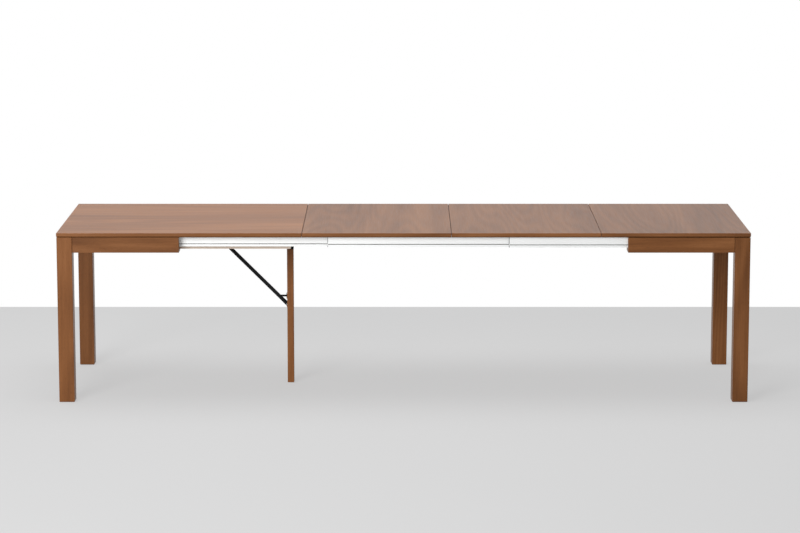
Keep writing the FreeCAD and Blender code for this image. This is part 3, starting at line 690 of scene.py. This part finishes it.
class Prisms:
    """Closed prisms gathered into one piece."""

    EASE_STEPS = 2
    EASE_PROFILE = 0.5

    def __init__(self, name: str) -> None:
        """Start an empty piece."""
        self.name = name
        self.shell = bmesh.new()

    def add(self, ring: list[Triple], way: Triple, ease: float = 0.0) -> None:
        """Add a prism.

        Args:
            ring: Corners of its first end.
            way: The way to its last end.
            ease: Width of the bevel round its last end.
        """
        first = [self.shell.verts.new(corner) for corner in ring]
        last = [self.shell.verts.new(Vector(corner) + Vector(way)) for corner in ring]
        faces = [self.shell.faces.new(first), self.shell.faces.new(last)]
        for after in range(len(ring)):
            side = (first[after - 1], first[after], last[after], last[after - 1])
            faces.append(self.shell.faces.new(side))
        bmesh.ops.recalc_face_normals(self.shell, faces=faces)
        if ease > 0.0:
            bmesh.ops.bevel(self.shell, geom=list(faces[1].edges), offset=ease, segments=self.EASE_STEPS,
                            affect="EDGES", profile=self.EASE_PROFILE)

    def piece(self, finish: Finish) -> bpy.types.Object:
        """Close the piece.

        Args:
            finish: Its finish.

        Returns:
            The gathered prisms as one object.
        """
        mesh = bpy.data.meshes.new(self.name)
        self.shell.to_mesh(mesh)
        self.shell.free()
        return hang_mesh(self.name, mesh, finish)


class TurnedSet(Graph):
    """A geometry tree that turns a small piece and sets a copy of it on each of its points."""

    def __init__(self, name: str) -> None:
        """Start the tree with its points and its material."""
        super().__init__(bpy.data.node_groups.new(name, "GeometryNodeTree"))
        self.tree.interface.new_socket("Geometry", in_out="OUTPUT", socket_type="NodeSocketGeometry")
        self.inlet = self.tree.nodes.new("NodeGroupInput")
        self.points = self.socket("Points", "NodeSocketGeometry")
        self.paint = self.socket("Material", "NodeSocketMaterial")

    def socket(self, name: str, kind: str = "NodeSocketFloat") -> bpy.types.NodeSocket:
        """Return the outlet of a new named input."""
        self.tree.interface.new_socket(name, in_out="INPUT", socket_type=kind)
        return self.inlet.outputs[name]

    def turned(self, start: object, end: object, radius: object, steps: int,
               around: int = 24) -> bpy.types.NodeSocket:
        """Turn a solid about Z.

        Args:
            start: Height of its first end.
            end: Height of its last end.
            radius: Its radius along the way.
            steps: Number of rings.
            around: Number of points on a ring.

        Returns:
            The solid's mesh.
        """
        line = self.add("GeometryNodeCurvePrimitiveLine", {"Start": self.vector(0.0, 0.0, start),
                                                           "End": self.vector(0.0, 0.0, end)})
        path = self.add("GeometryNodeResampleCurve", {"Curve": line.outputs[0], "Count": steps})
        ring = self.add("GeometryNodeCurvePrimitiveCircle", {"Resolution": around, "Radius": 1.0})
        skin = self.add("GeometryNodeCurveToMesh", {"Curve": path.outputs[0], "Scale": radius,
                                                    "Profile Curve": ring.outputs[0], "Fill Caps": True})
        return skin.outputs[0]

    def way(self) -> bpy.types.NodeSocket:
        """Return how far along a turned solid a ring is, from 0 to 1."""
        return self.add("GeometryNodeSplineParameter").outputs["Factor"]

    def dome(self, radius: object, flat_share: float) -> bpy.types.NodeSocket:
        """Swell a domed end from its flat to its full radius.

        Args:
            radius: The full radius.
            flat_share: Share of it that the flat has.

        Returns:
            The radius along the way.
        """
        rest = self.calc("SUBTRACT", 1.0, self.way())
        swell = self.calc("SQRT", self.calc("SUBTRACT", 1.0, self.calc("MULTIPLY", rest, rest)))
        return self.calc("MULTIPLY", radius, self.calc("MULTIPLY_ADD", swell, 1.0 - flat_share, flat_share))

    def joined(self, *parts: bpy.types.NodeSocket) -> bpy.types.NodeSocket:
        """Join several meshes.

        Args:
            parts: The meshes.

        Returns:
            All of them as one.
        """
        node = self.tree.nodes.new("GeometryNodeJoinGeometry")
        for part in parts:
            self.tree.links.new(part, node.inputs[0])
        return node.outputs[0]

    def finish(self, part: bpy.types.NodeSocket, seed: int) -> bpy.types.NodeTree:
        """Set the part on every point, turned to the point's own direction.

        Args:
            part: The turned part, along Z.
            seed: Seed of the random turn about its own axis.

        Returns:
            The finished tree.
        """
        drive = self.add("GeometryNodeInputNamedAttribute", {"Name": "drive"}, data_type="FLOAT_VECTOR")
        aligned = self.add("FunctionNodeAlignRotationToVector", {"Vector": drive.outputs[0]}, axis="Z")
        angle = self.add("FunctionNodeRandomValue", {2: 0.0, 3: math.tau, "Seed": seed}, data_type="FLOAT")
        spin = self.add("FunctionNodeAxisAngleToRotation", {"Axis": tuple(UP), "Angle": angle.outputs[1]})
        turn = self.add("FunctionNodeRotateRotation", {"Rotation": aligned.outputs[0],
                                                       "Rotate By": spin.outputs[0]}, rotation_space="LOCAL")
        copies = self.add("GeometryNodeInstanceOnPoints", {"Points": self.points, "Instance": part,
                                                           "Rotation": turn.outputs[0]})
        whole = self.add("GeometryNodeRealizeInstances", {"Geometry": copies.outputs[0]})
        painted = self.add("GeometryNodeSetMaterial", {"Geometry": whole.outputs[0], "Material": self.paint})
        outlet = self.tree.nodes.new("NodeGroupOutput")
        self.tree.links.new(painted.outputs[0], outlet.inputs[0])
        return self.tree


def set_on_points(name: str, tree: bpy.types.NodeTree, points: list[tuple[Vector, Vector]],
                  values: dict[str, object]) -> bpy.types.Object:
    """Run a geometry tree on a row of points and keep the result as a plain mesh.

    Args:
        name: Name of the new piece.
        tree: The geometry tree.
        points: Place and direction of each copy.
        values: Values of the tree's named inputs.

    Returns:
        The finished piece, at the origin.
    """
    seats = bpy.data.meshes.new(f"{name}_points")
    seats.from_pydata([tuple(place) for place, _ in points], [], [])
    drive = seats.attributes.new("drive", "FLOAT_VECTOR", "POINT")
    for row, (_, direction) in zip(drive.data, points):
        row.vector = direction
    piece = bpy.data.objects.new(name, seats)
    bpy.context.scene.collection.objects.link(piece)
    modifier = piece.modifiers.new("set", "NODES")
    modifier.node_group = tree
    for item in tree.interface.items_tree:
        if item.in_out == "INPUT" and item.name in values:
            modifier[item.identifier] = values[item.name]
    graph = bpy.context.evaluated_depsgraph_get()
    result = bpy.data.meshes.new_from_object(piece.evaluated_get(graph))
    piece.modifiers.remove(modifier)
    piece.data = result
    bpy.data.meshes.remove(seats)
    result.name = name
    return piece


@dataclass
class Screws:
    """Pan-head screws with a cross recess, in place of the plain ones of the frame."""

    head_diameter: float = 0.009
    head_height: float = 0.003
    head_flat_share: float = 0.55
    head_steps: int = 7
    shank_diameter: float = 0.005
    shank_steps: int = 9
    shank_sides: int = 12
    point_power: float = 14.0
    point_share: float = 0.9
    recess_length: float = 0.0052
    recess_width: float = 0.0011
    recess_depth: float = 0.0016
    seed: int = 3

    def tree(self) -> bpy.types.NodeTree:
        """Make the geometry tree of the screws.

        Returns:
            The tree, with the sizes of a screw as its named inputs.
        """
        tree = TurnedSet("screw_set")
        head, height = tree.socket("Head Diameter"), tree.socket("Head Height")
        shank, length = tree.socket("Shank Diameter"), tree.socket("Shank Length")
        recess, width, sink = (tree.socket(f"Recess {name}") for name in ("Length", "Width", "Depth"))
        top, depth = tree.calc("MULTIPLY", height, -1.0), tree.calc("MULTIPLY", sink, 2.0)
        dome = tree.turned(top, 0.0, tree.dome(tree.half(head), self.head_flat_share), self.head_steps)
        cross = tree.add("GeometryNodeMeshBoolean", {"Mesh 1": dome}, operation="DIFFERENCE", solver="EXACT")
        # The arms are centred on the top of the head, so half of their depth cuts into it.
        for size in ((recess, width, depth), (width, recess, depth)):
            arm = tree.add("GeometryNodeMeshCube", {"Size": tree.vector(*size)})
            moved = tree.add("GeometryNodeTransform", {"Geometry": arm.outputs[0],
                                                       "Translation": tree.vector(0.0, 0.0, top)})
            tree.tree.links.new(moved.outputs[0], cross.inputs["Mesh 2"])
        point = tree.calc("MULTIPLY", tree.calc("POWER", tree.way(), self.point_power), self.point_share)
        taper = tree.calc("MULTIPLY", tree.half(shank), tree.calc("SUBTRACT", 1.0, point))
        rod = tree.turned(0.0, length, taper, self.shank_steps, self.shank_sides)
        return tree.finish(tree.joined(cross.outputs[0], rod), self.seed)

    def build(self, tree: bpy.types.NodeTree, node: str, body: str, heads: Heads) -> None:
        """Set detailed screws in place of a node of plain ones, which are all of one length.

        Args:
            tree: The geometry tree of the screws.
            node: Node that holds the plain screws.
            body: Body that carries them.
            heads: Where their heads sit.
        """
        points = []
        for low, high in solids(node):
            centre = (low + high) / 2.0
            drive = heads.drive(centre)
            span = abs((high - low).dot(drive))
            points.append((centre - drive * (span / 2.0 - self.head_height), drive))
        values = {"Material": ZINC.material(), "Head Diameter": self.head_diameter,
                  "Head Height": self.head_height, "Shank Diameter": self.shank_diameter,
                  "Shank Length": span - self.head_height, "Recess Length": self.recess_length,
                  "Recess Width": self.recess_width, "Recess Depth": self.recess_depth}
        keep(set_on_points(f"{node}_detailed", tree, points, values), body, Slot.ZINC_STEEL, node)


@dataclass
class TurnedParts:
    """Glides under the legs, rollers of the stay, and heads on the hinge and pivot pins."""

    glide_flat_share: float = 0.9
    glide_steps: int = 6
    glide_seed: int = 5
    wheel_share: float = 0.86
    wheel_steps: int = 11
    rim_power: float = 8.0
    rim_drop_share: float = 0.05
    hub_share: float = 0.52
    roller_seed: int = 7
    washer_share: float = 1.9
    washer_thickness: float = 0.0008
    head_share: float = 1.2
    head_height: float = 0.0014
    head_sink_share: float = 0.4
    head_flat_share: float = 0.45
    head_steps: int = 7
    head_seed: int = 9
    plain_steps: int = 3
    large_sides: int = 40
    small_sides: int = 32

    def glide_tree(self) -> bpy.types.NodeTree:
        """Make the tree of a glide: a disc with a rounded lower rim.

        Returns:
            The tree, with the diameter and height as its named inputs.
        """
        tree = TurnedSet("glide_set")
        radius, height = tree.half(tree.socket("Diameter")), tree.socket("Height")
        rim = tree.dome(radius, self.glide_flat_share)
        return tree.finish(tree.turned(0.0, height, rim, self.glide_steps, self.large_sides), self.glide_seed)

    def roller_tree(self) -> bpy.types.NodeTree:
        """Make the tree of a roller: a wheel with eased rims and a hub on both faces.

        Returns:
            The tree, with the diameter and width as its named inputs.
        """
        tree = TurnedSet("roller_set")
        radius, half = tree.half(tree.socket("Diameter")), tree.half(tree.socket("Width"))
        ease = tree.calc("ABSOLUTE", tree.calc("MULTIPLY_ADD", tree.way(), 2.0, -1.0))
        drop = tree.calc("MULTIPLY", tree.calc("POWER", ease, self.rim_power), self.rim_drop_share)
        ends = [tree.calc("MULTIPLY", half, share) for share in (-self.wheel_share, self.wheel_share)]
        rim = tree.calc("MULTIPLY", radius, tree.calc("SUBTRACT", 1.0, drop))
        wheel = tree.turned(*ends, rim, self.wheel_steps, self.large_sides)
        hub = tree.turned(tree.calc("MULTIPLY", half, -1.0), half,
                          tree.calc("MULTIPLY", radius, self.hub_share), self.plain_steps, self.small_sides)
        return tree.finish(tree.joined(wheel, hub), self.roller_seed)

    def head_tree(self) -> bpy.types.NodeTree:
        """Make the tree of a pin's end: a washer on the cheek and a domed head on the pin.

        Returns:
            The tree, with the pin's and the head's sizes as its named inputs.
        """
        tree = TurnedSet("pin_head_set")
        radius, overhang = tree.half(tree.socket("Pin Diameter")), tree.socket("Overhang")
        thickness, washer_share = tree.socket("Washer Thickness"), tree.socket("Washer Share")
        head_share, height = tree.socket("Head Share"), tree.socket("Head Height")
        back = tree.calc("MULTIPLY", overhang, -1.0)
        washer = tree.turned(back, tree.calc("ADD", back, thickness),
                             tree.calc("MULTIPLY", radius, washer_share), self.plain_steps, self.small_sides)
        dome = tree.turned(height, tree.calc("MULTIPLY", height, -self.head_sink_share),
                           tree.dome(tree.calc("MULTIPLY", radius, head_share), self.head_flat_share),
                           self.head_steps)
        return tree.finish(tree.joined(washer, dome), self.head_seed)

    def glides(self, tree: bpy.types.NodeTree, node: str, body: str) -> None:
        """Set detailed glides in place of a node of plain ones.

        Args:
            tree: The geometry tree of the glides.
            node: Node that holds the plain glides.
            body: Body that carries them.
        """
        boxes = solids(node)
        low, high = boxes[0]
        points = [(Vector(((first.x + last.x) / 2.0, (first.y + last.y) / 2.0, first.z)), UP)
                  for first, last in boxes]
        values = {"Material": BLACK_PLASTIC.material(), "Diameter": high.x - low.x, "Height": high.z - low.z}
        keep(set_on_points(f"{node}_detailed", tree, points, values), body, Slot.BLACK_PLASTIC, node)

    def rollers(self, tree: bpy.types.NodeTree, node: str, body: str) -> None:
        """Set detailed rollers in place of the stay's plain ones.

        Args:
            tree: The geometry tree of the rollers.
            node: Node that holds the plain rollers.
            body: Body that carries them.
        """
        boxes = solids(node)
        low, high = boxes[0]
        points = [((first + last) / 2.0, Vector((0.0, 1.0, 0.0))) for first, last in boxes]
        values = {"Material": BLACK_PLASTIC.material(), "Diameter": high.x - low.x, "Width": high.y - low.y}
        keep(set_on_points(f"{node}_detailed", tree, points, values), body, Slot.BLACK_PLASTIC, node)

    def pin_heads(self, tree: bpy.types.NodeTree, pin: str, cheek: float, body: str, slot: Slot) -> None:
        """Set a washer and a head on both ends of a pin.

        Args:
            tree: The geometry tree of the heads.
            pin: Node of the pin, which lies along Y.
            cheek: Distance of the cheeks' outer faces from the middle.
            body: Body that carries the pin.
            slot: Slot of the record for their finish.
        """
        low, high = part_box(pin)
        x, z = (low.x + high.x) / 2.0, (low.z + high.z) / 2.0
        points = [(Vector((x, side * high.y, z)), Vector((0.0, side, 0.0))) for side in (-1.0, 1.0)]
        finish = ZINC if slot is Slot.ZINC_STEEL else BLACK_STEEL
        values = {"Material": finish.material(), "Pin Diameter": high.x - low.x, "Overhang": high.y - cheek,
                  "Washer Thickness": self.washer_thickness, "Washer Share": self.washer_share,
                  "Head Share": self.head_share, "Head Height": self.head_height}
        keep(set_on_points(f"{pin}_heads", tree, points, values), body, slot)


@dataclass
class Guides:
    """The telescopic guides with a plastic cap on each open end and a dark strip in each slot, which darkens
    the slot line.
    """

    depth: float = 0.0147
    proud: float = 0.00012
    inside: float = 0.0016
    outside: float = 0.0006
    slot_height: float = 0.0115
    slot_half: float = 0.0046
    slot_depth: float = 0.0069
    slot_back: float = 0.0066
    ease: float = 0.00035
    # Dark strip on the back wall of each slot, which darkens the slot line.
    dark_strip_thickness: float = 0.00012
    dark_strip_half: float = 0.0039
    dark_strip_inset: float = 0.002

    STAGES = (("fixed", "fixed_end", (1.0,)), ("inner", "inner_stage", (-1.0, 1.0)),
              ("middle", "middle_stage", (-1.0, 1.0)), ("outer", "moving_end", (-1.0,)))

    def outline(self, height: float) -> list[tuple[float, float]]:
        """Return the outline of a cap, with a notch where the next guide's tongue runs through.

        Args:
            height: Height of the guide.

        Returns:
            Depth and height of each corner, from the guide's lower outer corner.
        """
        low, deep, high = -self.proud, self.depth + self.proud, height + self.proud
        notch_low, notch_high = self.slot_height - self.slot_half, self.slot_height + self.slot_half
        return [(low, low), (deep, low), (deep, high), (low, high), (low, notch_high),
                (self.slot_depth, notch_high), (self.slot_depth, notch_low), (low, notch_low)]

    def runs(self, stage: str) -> list[tuple[Vector, Vector, float, float]]:
        """Return both guides of a stage: their boxes, outer faces and signs of the way inwards."""
        front, rear = (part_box(f"{stage}_guide_{side}") for side in SIDES)
        return [(*front, front[0].y, 1.0), (*rear, rear[1].y, -1.0)]

    def caps(self, stage: str, body: str, ends: tuple[float, ...]) -> None:
        """Build the caps of one stage as one piece.

        Args:
            stage: Name of the stage.
            body: Body that carries it.
            ends: Signs of the ends that have a cap.
        """
        caps = Prisms(f"{stage}_guide_caps")
        for low, high, face, inwards in self.runs(stage):
            for end in ends:
                tip = (high.x if end > 0.0 else low.x) - end * self.inside
                ring = [(tip, face + inwards * y, low.z + z) for y, z in self.outline(high.z - low.z)]
                caps.add(ring, (end * (self.inside + self.outside), 0.0, 0.0), self.ease)
        keep(caps.piece(GREY_PLASTIC), body, Slot.BLACK_PLASTIC)

    def dark_strips(self, stage: str, body: str) -> None:
        """Lay a dark strip on the back wall of one stage's slots, which darkens the slot line.

        Args:
            stage: Name of the stage.
            body: Body that carries it.
        """
        dark_strips = Prisms(f"{stage}_dark_slot_strips")
        deep, half = 2.0 * self.dark_strip_thickness, self.dark_strip_half
        for low, high, face, inwards in self.runs(stage):
            back = face + inwards * (self.slot_back - self.dark_strip_thickness)
            middle = low.z + self.slot_height
            ring = [(low.x + self.dark_strip_inset, back + inwards * y, middle + z)
                    for y, z in ((0.0, -half), (deep, -half), (deep, half), (0.0, half))]
            dark_strips.add(ring, (high.x - low.x - 2.0 * self.dark_strip_inset, 0.0, 0.0))
        keep(dark_strips.piece(BLACK_PLASTIC), body, Slot.BLACK_PLASTIC)

    def build(self) -> None:
        """Finish the guides, cap their open ends and lay a dark strip in their slots."""
        for stage, body, ends in self.STAGES:
            for side in SIDES:
                dress(f"{stage}_guide_{side}", WHITE_GUIDE)
            self.caps(stage, body, ends)
            self.dark_strips(stage, body)


@dataclass
class TopPanels:
    """The main top and the three leaves, veneered, with edge strips and soft lips in the seams."""

    main_tone: float = 1.25
    main_edge: float = 0.98
    main_figure: float = 0.65
    main_specular: float = 0.20
    main_seed: float = 1.0
    leaf_tones: tuple[float, ...] = (0.89, 0.89, 0.90)
    leaf_edge: float = 0.95
    leaf_seed: float = 2.0
    lip_reach: float = 0.0015
    lip_root: float = 0.0004
    lip_inset: float = 0.0025
    lip_foot: float = 0.0035
    lip_drop: float = 0.0035
    lip_steps: int = 10

    def build(self) -> None:
        """Finish every panel, its locating blocks and its pads, and close the seams."""
        dress("main_top", Wood("veneer_main_top", Grain.ALONG_X, self.main_seed, self.main_tone,
                               figure_share=self.main_figure, specular=self.main_specular,
                               edge_tone=self.main_edge))
        for number, tone in enumerate(self.leaf_tones, 1):
            veneer = Wood(f"veneer_leaf_{number}", Grain.ALONG_Y, self.leaf_seed + number, tone,
                          edge_tone=self.leaf_edge)
            dress(f"leaf_{number}", veneer)
            dress(f"leaf_{number}_locators", BEECH_LOCATOR)
            dress(f"leaf_{number}_pads", FELT)
        for number, body in enumerate(LEAF_BODIES, 1):
            self.seam(number, body)

    def seam(self, number: int, body: str) -> None:
        """Fit a soft lip on the left edge of a leaf, which closes the seam to its neighbour.

        Args:
            number: Number of the leaf.
            body: Body that carries it.
        """
        low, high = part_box(f"leaf_{number}")
        bottom, top, start = low.z + self.lip_foot, high.z - self.lip_drop, low.y + self.lip_inset
        middle, half = (bottom + top) / 2.0, (top - bottom) / 2.0
        ring = []
        for step in range(self.lip_steps + 1):
            angle = math.pi * step / self.lip_steps
            ring.append((low.x - self.lip_reach * math.sin(angle), start, middle - half * math.cos(angle)))
        ring += [(low.x + self.lip_root, start, height) for height in (top, bottom)]
        lip = Prisms(f"leaf_{number}_seam_lip")
        lip.add(ring, (0.0, high.y - low.y - 2.0 * self.lip_inset, 0.0))
        keep(lip.piece(SOFT_LIP), body, Slot.BLACK_PLASTIC)


@dataclass
class EndFrames:
    """Legs, aprons and ledges of both ends, and the bearers and rails under the main top."""

    # Tone of each leg, front then rear, at the left end and at the right end. Besides random differences in
    # the wood, the rear left leg is set darker as painted shade and the rear right leg lighter as painted
    # light.
    leg_tones_with_painted_light: tuple[Span, ...] = ((1.05, 0.92), (0.93, 1.02))
    apron_tones: Span = (0.92, 1.0)
    base_seed: float = 13.4
    end_seed: float = 0.3
    apron_seed: float = 0.5
    ledge_seed: float = 0.7
    bearer_seed: float = 2.0

    RAILS = ("left", "middle", "right")

    def build(self) -> None:
        """Finish each board with its own run of grain."""
        seed = self.base_seed
        for end, leg_tones_with_painted_light, tone in zip(ENDS, self.leg_tones_with_painted_light, self.apron_tones):
            for side, leg_tone in zip(SIDES, leg_tones_with_painted_light):
                seed += 1.0
                leg, apron = f"{end}_{side}_leg", f"{end}_{side}_apron"
                dress(leg, solid_wood(f"wood_{leg}", Grain.ALONG_Z, seed, leg_tone))
                dress(apron, solid_wood(f"wood_{apron}", Grain.ALONG_X, seed + self.apron_seed, tone))
                ledge_wood = solid_wood(f"wood_{end}_ledge", Grain.ALONG_X, seed + self.ledge_seed, tone)
                dress(f"{end}_{side}_ledge", ledge_wood)
            apron = f"{end}_end_apron"
            dress(apron, solid_wood(f"wood_{apron}", Grain.ALONG_Y, seed + self.end_seed, tone))
            dress(f"{end}_end_dowels", BEECH_DOWEL)
        for side in SIDES:
            beech = raw_wood(f"raw_beech_{side}_bearer", Grain.ALONG_X, seed + self.bearer_seed)
            dress(f"{side}_bearer", beech)
        for rail in self.RAILS:
            dress(f"cross_rail_{rail}", BEECH_RAIL)
        dress("cross_rail_dowels", BEECH_DOWEL)


@dataclass
class SupportLeg:
    """The folding support leg, its hinge, its stay and the track that the stay runs in."""

    tone: float = 1.12
    seed: float = 31.0
    thickness: float = 0.029
    corner: float = 0.002
    corner_steps: int = 4
    # A dark sleeve on the leg's head that paints the shade the top casts there.
    sleeve_bottom: float = 0.611
    sleeve_top: float = 0.683
    sleeve_grow: Span = (0.0006, 0.0003)
    sleeve_sink: Span = (-0.0004, -0.0004)

    BLACK_NODES = ("stay_bar", "stay_clevis", "stop_arm", "hinge_bracket", "stay_pivot_pin", "roller_pin")
    ZINC_NODES = ("stay_track", "hinge_pin")
    CORNERS = ((1.0, 1.0), (-1.0, 1.0), (-1.0, -1.0), (1.0, -1.0))

    def build(self) -> None:
        """Finish the leg and its fittings."""
        dress("support_leg", solid_wood("wood_support_leg", Grain.ALONG_Z, self.seed, self.tone))
        for node in self.BLACK_NODES:
            dress(node, BLACK_STEEL)
        for node in self.ZINC_NODES:
            dress(node, ZINC)
        # The black sleeve paints the shade on the leg's head.
        self.sleeve()

    def outline(self, x: float, y: float, grow: Span, height: float) -> list[Triple]:
        """Return the leg's rounded outline, grown or shrunk.

        Args:
            x: Middle of the leg.
            y: Half of its width.
            grow: How far the outline grows along X and along Y.
            height: Height that the outline lies at.

        Returns:
            Points anticlockwise from above.
        """
        half = (self.thickness / 2.0 + grow[0], y + grow[1])
        points = []
        for quarter, (across, along) in enumerate(self.CORNERS):
            for step in range(self.corner_steps + 1):
                angle = math.pi / 2.0 * (quarter + step / self.corner_steps)
                points.append((x + across * (half[0] - self.corner) + self.corner * math.cos(angle),
                               along * (half[1] - self.corner) + self.corner * math.sin(angle), height))
        return points

    def sleeve(self) -> None:
        """Fit a thin black steel sleeve round the head of the leg, below the hinge, as painted shade where
        the top shades the leg's head.
        """
        low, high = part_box("support_leg")
        x, y = (low.x + high.x) / 2.0, (high.y - low.y) / 2.0
        rings = [self.outline(x, y, grow, height) for grow, height in (
            (self.sleeve_grow, self.sleeve_bottom), (self.sleeve_grow, self.sleeve_top),
            (self.sleeve_sink, self.sleeve_top), (self.sleeve_sink, self.sleeve_bottom))]
        count = len(rings[0])
        faces = []
        for row in range(len(rings)):
            this, above = row * count, (row + 1) % len(rings) * count
            for place in range(count):
                after = (place + 1) % count
                faces.append((this + place, this + after, above + after, above + place))
        mesh = bpy.data.meshes.new("support_leg_shade_sleeve")
        mesh.from_pydata([point for ring in rings for point in ring], [], faces)
        keep(hang_mesh("support_leg_shade_sleeve", mesh, BLACK_STEEL), "folding_leg", Slot.BLACK_STEEL)


@dataclass
class Hardware:
    """Everything small that repeats: screws, glides, rollers and pin heads."""

    hinge_cheek: float = 0.026
    clevis_cheek: float = 0.0058

    SCREW_SETS = (("top_screws", "fixed_end", Heads.BELOW), ("track_screws", "fixed_end", Heads.BELOW),
                  ("bracket_screws", "fixed_end", Heads.BELOW),
                  ("fixed_guide_screws", "fixed_end", Heads.OUTSIDE),
                  ("outer_guide_screws", "moving_end", Heads.INSIDE),
                  ("support_screws", "folding_leg", Heads.LEFT))
    GLIDE_SETS = (("left_leg_glides", "fixed_end"), ("right_leg_glides", "moving_end"),
                  ("support_glide", "folding_leg"))

    def build(self) -> None:
        """Set every screw, glide, roller and pin head."""
        screws = Screws()
        screw_tree = screws.tree()
        for node, body, heads in self.SCREW_SETS:
            screws.build(screw_tree, node, body, heads)
        turned = TurnedParts()
        glide_tree = turned.glide_tree()
        for node, body in self.GLIDE_SETS:
            turned.glides(glide_tree, node, body)
        turned.rollers(turned.roller_tree(), "stay_rollers", "folding_stay")
        head_tree = turned.head_tree()
        turned.pin_heads(head_tree, "hinge_pin", self.hinge_cheek, "fixed_end", Slot.ZINC_STEEL)
        turned.pin_heads(head_tree, "stay_pivot_pin", self.clevis_cheek, "folding_leg", Slot.BLACK_STEEL)


@dataclass(frozen=True)
class Lamp:
    """A large round soft lamp."""

    name: str
    place: Triple
    aim: Triple
    size: float
    power: float

    def hang(self) -> None:
        """Hang the lamp at its place and turn it to its aim."""
        light = bpy.data.lights.new(self.name, "AREA")
        light.shape = "DISK"
        light.size = self.size
        light.energy = self.power
        lamp = bpy.data.objects.new(self.name, light)
        lamp.location = self.place
        lamp.rotation_euler = (Vector(self.aim) - lamp.location).to_track_quat("-Z", "Y").to_euler()
        bpy.context.scene.collection.objects.link(lamp)


@dataclass
class Studio:
    """Plain floor, soft light and the camera of the photograph."""

    floor_back: float = 1.91
    floor_reach: float = 30.0
    world_fill: float = 0.29
    key: Lamp = Lamp("key", place=(-3.6, -7.6, 3.4), aim=(0.0, 0.0, 0.5), size=4.2, power=485.0)
    overhead: Lamp = Lamp("overhead", place=(-0.6, 0.2, 4.6), aim=(0.0, 0.0, 0.7), size=4.0, power=96.0)
    camera_place: Triple = (-0.0152, -12.8618, 2.6645)
    camera_pitch: float = 9.426
    camera_lens: float = 130.31
    camera_sensor: float = 36.0
    camera_reach: float = 200.0

    def floor(self) -> None:
        """Lay the floor."""
        reach = self.floor_reach
        mesh = bpy.data.meshes.new("floor")
        mesh.from_pydata([(-reach, -reach, 0.0), (reach, -reach, 0.0), (reach, self.floor_back, 0.0),
                          (-reach, self.floor_back, 0.0)], [], [(0, 1, 2, 3)])
        hang_mesh("floor", mesh, FloorPaint("pale_floor"))

    def world(self) -> None:
        """Fill the room with plain white that the camera and reflections see at full strength."""
        world = bpy.data.worlds.new("studio")
        world.use_nodes = True
        bpy.context.scene.world = world
        graph = ShaderGraph(world.node_tree)
        strength = graph.calc("MULTIPLY_ADD", graph.seen(), 1.0 - self.world_fill, self.world_fill)
        background = world.node_tree.nodes["Background"]
        background.inputs["Color"].default_value = (1.0, 1.0, 1.0, 1.0)
        graph.feed(background.inputs["Strength"], strength)

    def camera(self) -> None:
        """Stand the camera where the photograph was taken from."""
        data = bpy.data.cameras.new("camera")
        data.lens = self.camera_lens
        data.sensor_width = self.camera_sensor
        data.clip_end = self.camera_reach
        camera = bpy.data.objects.new("camera", data)
        camera.location = self.camera_place
        camera.rotation_euler = (math.radians(90.0 - self.camera_pitch), 0.0, 0.0)
        bpy.context.scene.collection.objects.link(camera)
        bpy.context.scene.camera = camera

    def build(self) -> None:
        """Set up the whole studio."""
        self.floor()
        self.world()
        self.key.hang()
        self.overhead.hang()
        self.camera()
        bpy.context.scene.view_settings.view_transform = "Standard"


def main() -> None:
    """Dress the frame, add the small pieces and set up the studio."""
    logging.basicConfig(level=logging.INFO, format="%(name)s: %(message)s")
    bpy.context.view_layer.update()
    Studio().build()
    for assembly in (TopPanels(), EndFrames(), Guides(), SupportLeg(), Hardware()):
        assembly.build()


if __name__ == "__main__":
    main()
